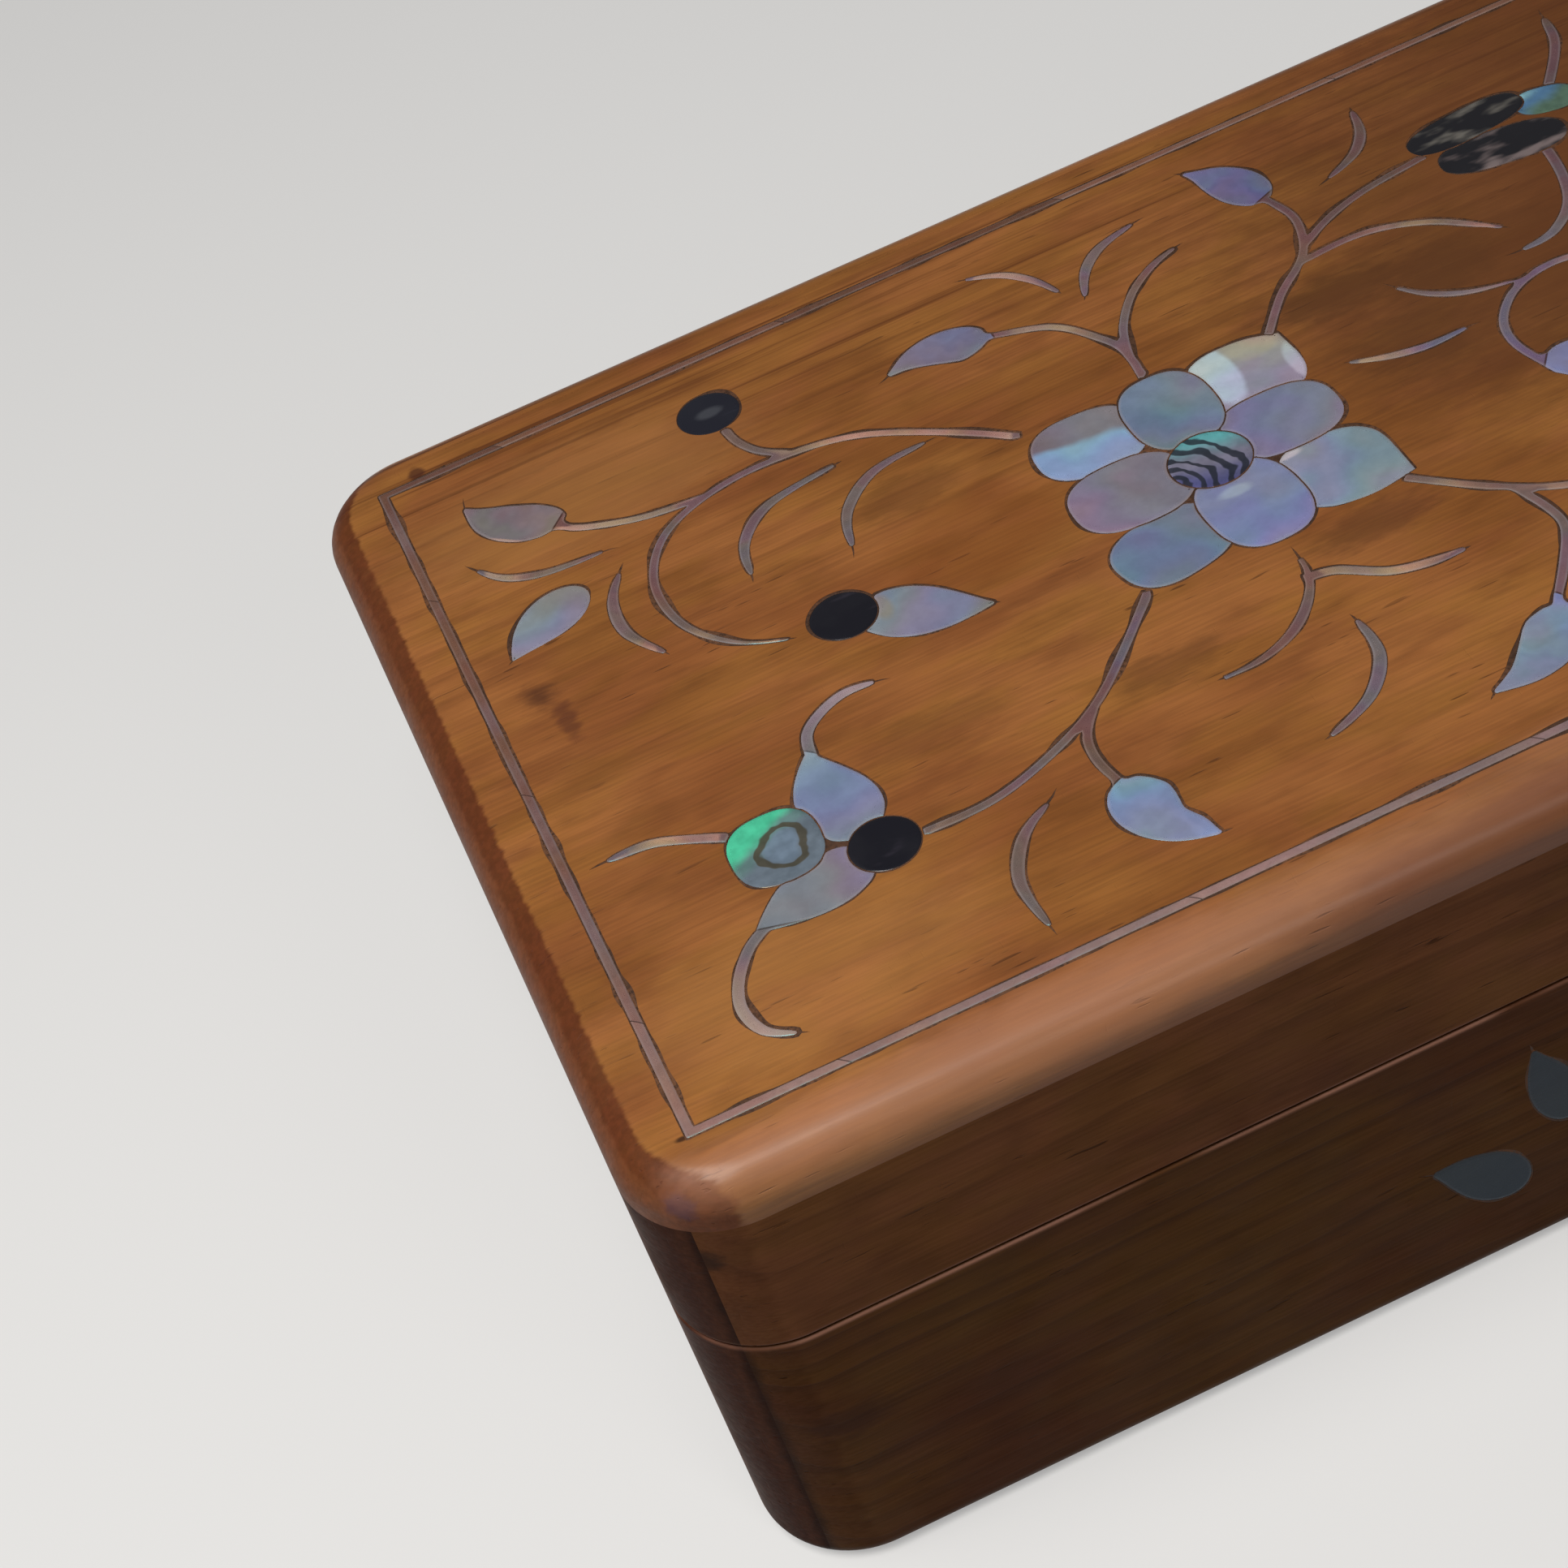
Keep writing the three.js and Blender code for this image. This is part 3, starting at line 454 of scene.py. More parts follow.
def lofted(name: str, rings: Sequence[Sequence]) -> Mesh:
    """Returns a closed solid through rings of points, from the bottom up."""
    count, points = len(rings[0]), [point for ring in rings for point in ring]
    top = tuple(range(len(points) - count, len(points)))
    return new_mesh(name, points, [tuple(reversed(range(count))), *bands(count, len(rings)), top])


def quarter(radius: float, steps: int) -> Levels:
    """Returns a quarter round as steps in and down from a corner."""
    angles = [step / steps * math.pi / 2 for step in range(steps + 1)]
    return [(radius * (1 - math.cos(angle)), radius * (1 - math.sin(angle))) for angle in angles]


def block(low: Vector, high: Vector) -> Mesh:
    """Returns a box between two corners."""
    xs, ys, zs = zip(low, high)
    corners = [Vector((x, y, z)) for z in zs for y in ys for x in xs]
    faces = [(0, 2, 3, 1), (4, 5, 7, 6), (0, 1, 5, 4), (2, 6, 7, 3), (0, 4, 6, 2), (1, 3, 7, 5)]
    return new_mesh("cutter_block", corners, faces)


def bar(profile: Levels, start: float, end: float) -> Mesh:
    """Returns a straight bar along X whose section is given in Y and Z, anticlockwise."""
    return lofted("cutter_bar", [[(x, y, z) for y, z in profile] for x in (start, end)])


def carved(base: Mesh, cuts: Sequence[tuple[str, Mesh]], ease: float = 0.0) -> Mesh:
    """Cuts and trims a solid by others.

    Args:
        base: The solid's mesh.
        cuts: DIFFERENCE or INTERSECT with the mesh of each cutter, in order.
        ease: How far the edges are rubbed down at the end.

    Returns:
        What is left of the solid.
    """
    work = new_object("work", base)
    cutters = []
    for operation, mesh in cuts:
        cutter = new_object("cutter", mesh)
        cutters.append(cutter)
        modifier = work.modifiers.new("cut", "BOOLEAN")
        modifier.operation = operation
        modifier.solver = "EXACT"
        modifier.object = cutter
    if ease:
        bevel = work.modifiers.new("ease", "BEVEL")
        bevel.width = ease
        bevel.segments = 2
        bevel.limit_method = "ANGLE"
        bevel.angle_limit = math.radians(40)
    mesh = settled(work)
    for cutter in cutters:
        bpy.data.objects.remove(cutter)
    return mesh


def weighted(name: str, mesh: Mesh) -> Object:
    """Returns an object with smooth shading that leaves its flat faces flat."""
    mesh.polygons.foreach_set("use_smooth", [True] * len(mesh.polygons))
    mesh.set_sharp_from_angle(angle=math.radians(SHARP_EDGE))
    work = new_object("work", mesh)
    work.modifiers.new("weight", "WEIGHTED_NORMAL").keep_sharp = True
    return new_object(name, settled(work))


# Case


@dataclass(frozen=True)
class CaseSizes:
    """Sizes of the case and of its hinges."""

    length: float = 210 * MM
    depth: float = 150 * MM
    height: float = 74 * MM
    parting: float = 45 * MM
    parting_gap: float = 0.3 * MM
    wall: float = 9 * MM
    top: float = 7 * MM
    bottom: float = 5 * MM
    rabbet: float = 2 * MM
    lip: float = 5.3 * MM
    corner_radius: float = 13.4 * MM
    top_rounding: float = 5 * MM
    bottom_rounding: float = 3 * MM
    easing: float = 0.5 * MM
    opening_degrees: float = 105.0
    knuckle_room: float = 1.9 * MM
    hinge_half: float = 12 * MM
    hinge_place: float = 60 * MM
    pin_reach: float = 13.1 * MM
    leaf_width: float = 4 * MM
    leaf_thickness: float = 1 * MM
    fit: float = 0.3 * MM
    overrun: float = 1 * MM
    corner_steps: int = 22
    rounding_steps: int = 9
    easing_steps: int = 3
    barrel_steps: int = 32

    @property
    def half(self) -> Vector:
        """Half the case's length and depth."""
        return Vector((self.length / 2, self.depth / 2))

    @property
    def axis_y(self) -> float:
        """Where the hinge axis lies."""
        return self.depth / 2 - self.knuckle_room

    def ring(self, inset: float, z: float) -> list[Vector]:
        """Returns the case's rounded outline, drawn in by so much, at a height."""
        points = []
        reach = self.corner_radius - inset
        for corner, (side_x, side_y) in enumerate(((1, 1), (-1, 1), (-1, -1), (1, -1))):
            for step in range(self.corner_steps + 1):
                angle = (corner + step / self.corner_steps) * math.pi / 2
                x = side_x * (self.half.x - self.corner_radius) + reach * math.cos(angle)
                y = side_y * (self.half.y - self.corner_radius) + reach * math.sin(angle)
                points.append(Vector((x, y, z)))
        return points

    def rounded(self, levels: Levels) -> Mesh:
        """Returns a solid with the case's outline, from the inset and height of each level."""
        return lofted("rounded", [self.ring(inset, z) for inset, z in levels])

    def body_levels(self) -> Levels:
        """Returns the levels of the lower half, from the underside up."""
        levels = [(inset, z) for z, inset in quarter(self.bottom_rounding, self.rounding_steps)]
        return levels + self.eased(self.parting - self.parting_gap / 2, -1)

    def lid_levels(self) -> Levels:
        """Returns the levels of the lid, from the parting up."""
        top = self.height - SKIN
        levels = [(inset, top - down) for inset, down in quarter(self.top_rounding, self.rounding_steps)]
        return self.eased(self.parting + self.parting_gap / 2, 1)[::-1] + levels

    def eased(self, rim: float, side: int) -> Levels:
        """Returns the rounded arris at the parting, ending at the rim."""
        return [(inset, rim + side * rise) for inset, rise in quarter(self.easing, self.easing_steps)]

    def strip(self, side: int, reach: float, low: float, high: float) -> Mesh:
        """Returns the room of the front (-1) or rear (1) board, as far along as reach."""
        near, far = self.half.y - self.wall, self.half.y + self.overrun
        ys = sorted((side * near, side * far))
        return block(Vector((-reach, ys[0], low)), Vector((reach, ys[1], high)))

    def end(self, side: int, low: float, high: float) -> Mesh:
        """Returns the room of the left (-1) or right (1) board."""
        xs = sorted((side * (self.half.x - self.wall - self.overrun), side * (self.half.x + self.overrun)))
        y = self.half.y + self.overrun
        return block(Vector((xs[0], -y, low)), Vector((xs[1], y, high)))

    def groove(self) -> Mesh:
        """Returns the groove whose slopes stop the lid."""
        slope = math.radians(self.opening_degrees / 2)
        apex = self.axis_y - self.parting_gap / 2 / math.sin(slope)
        mouth = self.half.y + self.overrun
        rise = (mouth - apex) * math.tan(slope)
        profile = [(apex, self.parting), (mouth, self.parting - rise), (mouth, self.parting + rise)]
        return bar(profile, -self.half.x - self.overrun, self.half.x + self.overrun)

    def hinge_rooms(self, side: int) -> list[Mesh]:
        """Returns the mortises and barrel rooms of both hinges, below (-1) or above (1) the parting."""
        rooms = []
        near = self.parting + side * self.parting_gap / 2
        zs = sorted((near + side * self.leaf_thickness, near - side * self.overrun))
        front = self.axis_y - self.knuckle_room - self.leaf_width - self.fit
        profile = self.circle(self.knuckle_room, self.barrel_steps)
        for x in (-self.hinge_place, self.hinge_place):
            half, reach = self.hinge_half + self.fit, self.pin_reach + self.fit
            rear = Vector((x + half, self.half.y + self.overrun, zs[1]))
            rooms += [block(Vector((x - half, front, zs[0])), rear), bar(profile, x - reach, x + reach)]
        return rooms

    def circle(self, radius: float, steps: int) -> Levels:
        """Returns the section of a round bar on the hinge axis, in Y and Z."""
        angles = [math.tau * step / steps for step in range(steps)]
        return [(self.axis_y + radius * math.cos(a), self.parting + radius * math.sin(a)) for a in angles]


class Finish(Enum):
    """The finishes that a piece can have."""

    WOOD = "wood"
    BOTTOM = "bottom_wood"
    PEARL = "pearl"
    ABALONE = "abalone"
    HORN = "horn"
    BRASS = "brass"


def settle(piece: Object, body: str, finish: Finish, material: Material, nodes: Sequence[str] = ()) -> None:
    """Gives a piece its material, hangs it on the body that it rides on, and hides the CAD nodes that it stands
    for.

    Args:
        piece: The piece, with its place in its mesh.
        body: The body's name.
        finish: Which finish it has; not used.
        material: The piece's own material.
        nodes: The CAD nodes that the piece stands for.
    """
    piece.data.materials.clear()
    piece.data.materials.append(material)
    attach(piece, body)
    if nodes:
        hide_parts(*nodes)
    LOG.info("%s: %d faces on %s", piece.name, len(piece.data.polygons), body)


# Node trees


class Value:
    """An output of a node, with which sums can be written.

    Args:
        graph: The graph that the sums go into.
        socket: The output.
    """

    def __init__(self, graph: "Graph", socket: NodeSocket) -> None:
        """Takes the output and its graph."""
        self.graph, self.socket = graph, socket

    def __add__(self, other: object) -> "Value":
        """Returns the sum."""
        return self.graph.math("ADD", self, other)

    def __sub__(self, other: object) -> "Value":
        """Returns the difference."""
        return self.graph.math("SUBTRACT", self, other)

    def __mul__(self, other: object) -> "Value":
        """Returns the product."""
        return self.graph.math("MULTIPLY", self, other)

    def __truediv__(self, other: object) -> "Value":
        """Returns the quotient."""
        return self.graph.math("DIVIDE", self, other)

    def __abs__(self) -> "Value":
        """Returns the value without its sign."""
        return self.graph.math("ABSOLUTE", self)


Values = dict[str | int, Value]


def is_vector(value: object) -> bool:
    """Tells whether a value in a sum is a vector."""
    return value.socket.type == "VECTOR" if isinstance(value, Value) else isinstance(value, (tuple, Vector))


class Graph:
    """Builds a node tree: every call adds a node and gives its output back."""

    def __init__(self, tree: NodeTree) -> None:
        """Takes the tree that the nodes go into."""
        self.tree = tree

    def node(self, kind: str, values: dict | None = None, **settings) -> Values:
        """Adds a node.

        Args:
            kind: The node's type.
            values: What goes into its inputs, by name or number: a constant or another node's output.
            settings: The node's own settings.

        Returns:
            The node's outputs, by number and by name.
        """
        node = self.tree.nodes.new(kind)
        for key, value in settings.items():
            setattr(node, key, value)
        self.fill(node, values or {})
        outputs: Values = {}
        for number, socket in enumerate(node.outputs):
            outputs[number] = outputs[socket.name] = Value(self, socket)
        return outputs

    def fill(self, node: Node, values: dict) -> None:
        """Links values to a node's inputs, or sets the inputs' constants."""
        for key, value in values.items():
            socket = node.inputs[key]
            if isinstance(value, Value):
                self.tree.links.new(value.socket, socket)
            else:
                socket.default_value = (*value, 1.0) if socket.type == "RGBA" and len(value) == 3 else value

    def math(self, operation: str, a: object, b: object = 0.0) -> Value:
        """Returns the result of a sum, on vectors where one side is a vector."""
        if not is_vector(a) and not is_vector(b):
            return self.node("ShaderNodeMath", {0: a, 1: b}, operation=operation)[0]
        if not is_vector(b):
            return self.node("ShaderNodeVectorMath", {0: a, "Scale": b}, operation="SCALE")[0]
        return self.node("ShaderNodeVectorMath", {0: a, 1: b}, operation=operation)[0]

    def place(self) -> Value:
        """Returns the place on a piece, in metres."""
        return self.node("ShaderNodeTexCoord")["Object"]

    def in_mm(self, vector: Value) -> Value:
        """Returns a place in mm."""
        return vector * 1000.0

    def split(self, vector: Value) -> Values:
        """Returns the three parts of a vector."""
        return self.node("ShaderNodeSeparateXYZ", {0: vector})

    def length(self, vector: Value) -> Value:
        """Returns the length of a vector."""
        return self.node("ShaderNodeVectorMath", {0: vector}, operation="LENGTH")[1]

    def dot(self, a: object, b: object) -> Value:
        """Returns the scalar product of two vectors."""
        return self.node("ShaderNodeVectorMath", {0: a, 1: b}, operation="DOT_PRODUCT")[1]

    def ramp(self, value: Value, low: object, high: object, start: object = 0.0, end: object = 1.0) -> Value:
        """Returns a value smoothly mapped from low and high onto start and end."""
        inputs = {0: value, 1: low, 2: high, 3: start, 4: end}
        return self.node("ShaderNodeMapRange", inputs, interpolation_type="SMOOTHSTEP")[0]

    def noise(self, vector: Value, scale: float, detail: float = 3.0, turn: object = 0.0) -> Value:
        """Returns soft noise about a half, different for each value of turn."""
        inputs = {"Vector": vector, "Scale": scale, "Detail": detail, "W": turn}
        return self.node("ShaderNodeTexNoise", inputs, noise_dimensions="4D")["Fac"]

    def streaks(self, place: Value, stretch: Colour, detail: float, turn: object = 0.0) -> Value:
        """Returns noise with a scale of its own along each axis."""
        return self.noise(place * stretch, 1.0, detail, turn)

    def mix(self, factor: object, a: object, b: object, blend: str = "MIX") -> Value:
        """Returns the mix of two colours."""
        inputs = {0: factor, 6: a, 7: b}
        return self.node("ShaderNodeMix", inputs, data_type="RGBA", blend_type=blend)[2]

    def tinted(self, colour: object, shade: Value) -> Value:
        """Returns a colour made lighter or darker by a number."""
        grey = self.node("ShaderNodeCombineColor", {0: shade, 1: shade, 2: shade})[0]
        return self.mix(1.0, colour, grey, "MULTIPLY")

    def bump(self, height: Value, distance: float) -> Value:
        """Returns the normal of a surface that is raised by a height, in parts of a distance."""
        return self.node("ShaderNodeBump", {"Height": height, "Distance": distance})[0]

    def group(self, group: NodeTree, values: dict) -> Values:
        """Adds a group of nodes with its own values."""
        return self.node("ShaderNodeGroup", values, node_tree=group)


def tree_sockets(tree: NodeTree, direction: str, sockets: dict[str, str]) -> None:
    """Adds named sockets to a group, of the kinds given."""
    for name, kind in sockets.items():
        tree.interface.new_socket(name, in_out=direction, socket_type=f"NodeSocket{kind}")


COLOUR_RESULTS = {"Lustre": "Color"}


def geometry_tree(name: str, kinds: dict[str, str], build: Callable[[Graph, Values], Value]) -> NodeTree:
    """Builds a Geometry Nodes tree whose result is plain geometry of one material.

    Args:
        name: The tree's name.
        kinds: The kinds of its inputs by name, apart from its geometry and material.
        build: Adds the nodes between, and returns what they make.

    Returns:
        The tree.
    """
    tree = bpy.data.node_groups.new(name, "GeometryNodeTree")
    tree_sockets(tree, "INPUT", {"Geometry": "Geometry", **kinds, "Material": "Material"})
    tree_sockets(tree, "OUTPUT", {"Geometry": "Geometry"})
    g = Graph(tree)
    given = g.node("NodeGroupInput")
    real = g.node("GeometryNodeRealizeInstances", {0: build(g, given)})[0]
    done = g.node("GeometryNodeSetMaterial", {0: real, "Material": given["Material"]})[0]
    g.node("NodeGroupOutput", {0: done})
    return tree


def effect(build: Callable[[Graph, Values], dict], vectors: str, numbers: str, results: str) -> NodeTree:
    """Builds an effect that several materials use, as a group of shader nodes.

    Args:
        build: Adds the nodes, and returns what each output gives. The effect has its name.
        vectors: The names of the inputs that are vectors.
        numbers: The names of the inputs that are numbers.
        results: The names of the outputs.

    Returns:
        The group.
    """
    tree = bpy.data.node_groups.new(build.__name__.removeprefix("build_"), "ShaderNodeTree")
    kinds = {name: "Vector" for name in vectors.split()} | {name: "Float" for name in numbers.split()}
    tree_sockets(tree, "INPUT", kinds)
    tree_sockets(tree, "OUTPUT", {name: COLOUR_RESULTS.get(name, "Float") for name in results.split()})
    graph = Graph(tree)
    graph.node("NodeGroupOutput", build(graph, graph.node("NodeGroupInput")))
    return tree


def build_wood_figure(g: Graph, given: Values) -> dict:
    """Adds growth rings about a pith along X, fibres, pores and blotches."""
    turn, place = given["Seed"], g.in_mm(given["Vector"])
    drift = g.streaks(place, (0.012, 0.03, 0.03), 2, turn)
    radius = g.length((place - given["Pith"]) * (0, 1, 1)) + drift * given["Drift"]
    years = radius / given["Spacing"] + g.streaks(place, (0.02, 0.5, 0.5), 2, turn) * 0.5
    year = g.math("FRACT", years)
    late = g.ramp(year, 0.35, 0.9) * g.ramp(year, 0.93, 1, 1, 0)
    lean = g.noise(g.math("FLOOR", years), 3.7, 0, turn)
    slots = g.streaks(place, (0.17, 1.9, 1.9), 1, turn + 7)
    crowd = g.streaks(place, (0.035, 0.12, 0.12), 2, turn + 3)
    return {
        "Rings": late * g.ramp(lean, 0.3, 0.7, 0.25, 1),
        "Fibres": g.streaks(place, (0.11, 2.6, 2.6), 4, turn),
        "Pores": g.ramp(slots, 0.67, 0.74) * g.ramp(crowd, 0.42, 0.66),
        "Blotches": g.ramp(g.streaks(place, (0.03, 0.05, 0.05), 3, turn + 11), 0.36, 0.68),
        "Mottle": g.ramp(g.streaks(place, (0.09, 0.2, 0.2), 4, turn + 15), 0.45, 0.72),
        "Hue": g.ramp(g.streaks(place, (0.06, 0.14, 0.14), 4, turn + 19), 0.4, 0.6),
    }


def build_mark(g: Graph, given: Values) -> dict:
    """Adds a spot with a ragged edge, stretched along the axes."""
    away = g.in_mm(given["Vector"]) - given["Centre"]
    ragged = g.noise(given["Vector"] * (350, 1000, 1000), 0.9, 3, given["Seed"])
    worn = g.length(away / given["Reach"]) + (ragged - 0.5) * given["Ragged"]
    return {"Mask": g.ramp(worn, g.math("SUBTRACT", 1.15, given["Blur"]), 1.15, 1, 0)}


def build_end_grain(g: Graph, given: Values) -> dict:
    """Adds masks where the surface faces along the grain, a little and fully."""
    jagged = g.streaks(g.in_mm(given["Vector"]), (0.25, 0.8, 0.8), 4)
    edge = abs(g.dot(given["Normal"], given["Grain"])) + (jagged - 0.5) * 0.26
    return {"Mask": g.ramp(edge, 0.12, 0.26), "Full": g.ramp(edge, 0.6, 0.72)}


def build_shell_figure(g: Graph, given: Values) -> dict:
    """Adds a sweep across a piece, clouds, the fine lines of growth and the play of colours."""
    place, seed = g.in_mm(given["Vector"]), given["Seed"]
    wisp = g.noise(place, 0.16, 2, seed)
    bent = g.dot(place - given["Middle"], given["Way"]) + (wisp - 0.5) * given["Waver"]
    half = given["Spread"] * 0.5
    layers = bent * 1.3 + wisp * 7.0
    phase = bent * 0.35 + g.noise(place, 0.12, 1, seed) * 9
    waves = [g.ramp(g.math("SINE", phase + turn), -1, 1) for turn in (0, 2.1, 4.2)]
    return {
        "Sweep": g.ramp(bent, half * -1, half),
        "Clouds": g.ramp(g.noise(place, 0.1, 1, seed + 5), 0.34, 0.66),
        "Lines": g.math("SINE", layers) * 0.5 + 0.5,
        "Fine": g.noise(place, 0.9, 2, seed),
        "Lustre": g.node("ShaderNodeCombineColor", dict(enumerate(waves)))[0],
    }


def build_strip_joints(g: Graph, given: Values) -> dict:
    """Adds the tone of each strip in a row, and the dark line between two strips."""
    split = g.split(g.in_mm(given["Vector"]))
    count = (split[0] + split[1] + given["Start"]) / given["Length"]
    within = g.math("FRACT", count) * given["Length"]
    tone = g.node("ShaderNodeTexWhiteNoise", {"W": g.math("FLOOR", count)}, noise_dimensions="1D")["Value"]
    return {"Tone": tone, "Joint": g.ramp(within, 0.1, 0.3, 1, 0)}


def build_scuffs(g: Graph, given: Values) -> dict:
    """Adds fine scratches and rubbed spots."""
    place, seed = g.in_mm(given["Vector"]), given["Seed"]
    one = g.ramp(g.streaks(place, (0.25, 3, 0.25), 2, seed), 0.66, 0.74)
    two = g.ramp(g.streaks(place, (2.4, 0.3, 0.3), 2, seed), 0.68, 0.76)
    rubbed = g.ramp(g.noise(place, 0.11, 4, seed), 0.4, 0.66)
    return {"Scratches": g.math("MAXIMUM", one, two), "Rubbed": rubbed}


@dataclass(frozen=True)
class Effects:
    """The effects that the materials share."""

    wood_figure: NodeTree
    mark: NodeTree
    end_grain: NodeTree
    shell_figure: NodeTree
    strip_joints: NodeTree
    scuffs: NodeTree


def build_effects() -> Effects:
    """Returns the effects, each built once."""
    return Effects(
        effect(
            build_wood_figure,
            "Vector Pith",
            "Spacing Drift Seed",
            "Rings Fibres Pores Blotches Mottle Hue",
        ),
        effect(build_mark, "Vector Centre Reach", "Ragged Blur Seed", "Mask"),
        effect(build_end_grain, "Vector Normal Grain", "", "Mask Full"),
        effect(build_shell_figure, "Vector Middle Way", "Spread Waver Seed", "Sweep Clouds Lines Fine Lustre"),
        effect(build_strip_joints, "Vector", "Length Start", "Tone Joint"),
        effect(build_scuffs, "Vector", "Seed", "Scratches Rubbed"),
    )


def new_material(name: str, preview: Colour) -> tuple[Material, Graph, Node]:
    """Starts a material.

    Args:
        name: The material's name.
        preview: The plain colour that stands for it in a viewport.

    Returns:
        The material, its nodes and its shader.
    """
    material = bpy.data.materials.new(name)
    material.use_nodes = True
    material.diffuse_color = (*preview, 1.0)
    material.node_tree.nodes.clear()
    graph = Graph(material.node_tree)
    shader = graph.tree.nodes.new("ShaderNodeBsdfPrincipled")
    graph.node("ShaderNodeOutputMaterial", {"Surface": Value(graph, shader.outputs[0])})
    return material, graph, shader


# Finishes

WOOD_HUES = ((0.98, 1.0, 0.9), (1.03, 0.985, 1.08))
RAW_WOOD = ((0.34, 0.185, 0.085), (0.25, 0.13, 0.055))
PARTING_WEAR_AND_HIGHLIGHT = (0.34, 0.17, 0.12)
END_RISE = (1.45, 1.8, 1.9)
SHELL_RIM = ((0.34, 0.25, 0.22), (0.3, 0.28, 0.3))
SHELL_PAINTED_HIGHLIGHT = (0.45, 0.28, 0.19)
SEAM_GLUE = (0.04, 0.022, 0.014)
JOINT_GLUE = (0.03, 0.018, 0.012)


@dataclass(frozen=True)
class Mark:
    """A spot with a tone of its own, used for stains and for painted light and shade.

    Args:
        centre: Its place in mm.
        reach: How far it reaches along each axis, in mm.
        colour: Its tone.
        strength: How strongly it covers what lies under it.
        ragged: How ragged its edge is.
        blur: How soft its edge is.
    """

    centre: Colour
    reach: Colour
    colour: Colour
    strength: float
    ragged: float = 1.2
    blur: float = 0.65

    def over(self, g: Graph, effects: Effects, colour: object, seed: float) -> Value:
        """Returns a colour with the spot laid over it."""
        values = {
            "Vector": g.place(), "Centre": self.centre, "Reach": self.reach,
            "Ragged": self.ragged, "Blur": self.blur, "Seed": seed,
        }
        return g.mix(g.group(effects.mark, values)[0] * self.strength, colour, self.colour)


@dataclass(frozen=True)
class WoodFinish:
    """A varnished or bare wood.

    Args:
        name: The material's name.
        light, warm, dark, end: Colours of the early wood, the blotches, the late wood and the end grain.
        pith: The middle of the growth rings, in mm.
        spacing, drift: How far the rings lie apart, in mm, and how far they stray.
        figure: How strongly the rings show.
        seed: Tells one board from another.
        along_x: True where the grain runs along X, False where it runs along Y.
        gloss, sheen: How much varnish lies on it, and its specular level.
        marks: Its stains and knots, and light and shade painted on it.
        band: Where the corner joint shows, in mm from the middle.
        lines: Where straight dark lines start, in mm towards the rear.
        rubbed: How strongly the edges at the parting are painted pale: worn varnish, and a painted highlight
            along the arris.
        mottle, cut: How strongly the mottling and the end grain show.
    """

    name: str
    light: Colour
    warm: Colour
    dark: Colour
    end: Colour
    pith: Colour
    spacing: float
    drift: float
    figure: float
    seed: float
    along_x: bool = True
    gloss: float = 0.1
    marks: tuple[Mark, ...] = ()
    band: float = 0.0
    lines: float = 200.0
    rubbed: float = 0.75
    mottle: float = 0.36
    cut: float = 0.85
    sheen: float = 0.12

    def build(self, effects: Effects) -> Material:
        """Returns the material."""
        material, g, shader = new_material(self.name, self.light)
        coords = g.node("ShaderNodeTexCoord")
        place, mm = coords["Object"], g.in_mm(coords["Object"])
        x, y, z = (g.split(mm)[way] for way in range(3))
        turned, grain = place, (1.0, 0.0, 0.0)
        if not self.along_x:
            split, grain = g.split(place), (0.0, 1.0, 0.0)
            turned = g.node("ShaderNodeCombineXYZ", {0: split[1], 1: split[0], 2: split[2]})[0]
        values = {"Pith": self.pith, "Spacing": self.spacing, "Drift": self.drift, "Seed": self.seed}
        figure = g.group(effects.wood_figure, {"Vector": turned, **values})
        scuffs = g.group(effects.scuffs, {"Vector": place, "Seed": self.seed})
        shade = g.ramp(figure["Fibres"], 0.3, 0.7, 0.89, 1.1)
        deep = tuple(value * 0.45 for value in self.dark)

        colour = g.mix(figure["Blotches"], self.light, self.warm)
        colour = g.mix(figure["Rings"] * self.figure, colour, self.dark)
        colour = g.mix(figure["Mottle"] * self.mottle, colour, self.dark)
        colour = g.tinted(g.mix(1, colour, g.mix(figure["Hue"], *WOOD_HUES), "MULTIPLY"), shade)
        colour = g.mix(figure["Pores"] * 0.65, colour, deep)
        straight = g.ramp(g.streaks(mm, (0.008, 0.75, 0.2), 3, self.seed), 0.52, 0.66)
        colour = g.mix(straight * g.ramp(y, self.lines, self.lines + 22), colour, self.dark)

        ends = g.group(effects.end_grain, {"Vector": place, "Normal": coords["Normal"], "Grain": grain})
        fleck = g.ramp(g.noise(mm, 1.2, 3, self.seed), 0.35, 0.7, 0.8, 1.15)
        outer = tuple(value * rise for value, rise in zip(self.end, END_RISE))
        colour = g.mix(ends["Mask"] * self.cut, colour, g.tinted(g.mix(ends["Full"], self.end, outer), fleck))
        # Stains and knots, and painted light and shade, laid over the wood.
        for number, mark in enumerate(self.marks):
            colour = mark.over(g, effects, colour, self.seed + number * 1.7)
        if self.band:
            soft = abs(abs(x) - self.band) + g.noise(mm, 0.3, 3) * 1.4
            colour = g.mix(g.ramp(soft, 0.6, 2, 0.8, 0), colour, deep)

        # The rounded edges at the parting are painted pale: worn varnish, and a painted highlight where the
        # arris catches the light.
        upright = g.ramp(abs(g.split(coords["Normal"])[2]), 0.75, 0.97, 1, 0)
        near = g.ramp(abs(z - CASE_SIZES.parting / MM), 0.3, 0.95, 1, 0)
        worn = near * g.ramp(g.noise(mm, 0.06, 2, 6), 0.35, 0.58) * upright
        colour = g.mix(worn * self.rubbed, colour, PARTING_WEAR_AND_HIGHLIGHT)
        inside = g.ramp(z, 3, 4) * g.ramp(z, 67.1, 67.3, 1, 0)
        for way, reach in zip((x, y), INSIDE):
            inside = inside * g.ramp(abs(way), reach, reach + 0.3, 1, 0)
        colour = g.mix(inside, colour, g.tinted(g.mix(figure["Rings"], *RAW_WOOD), shade))

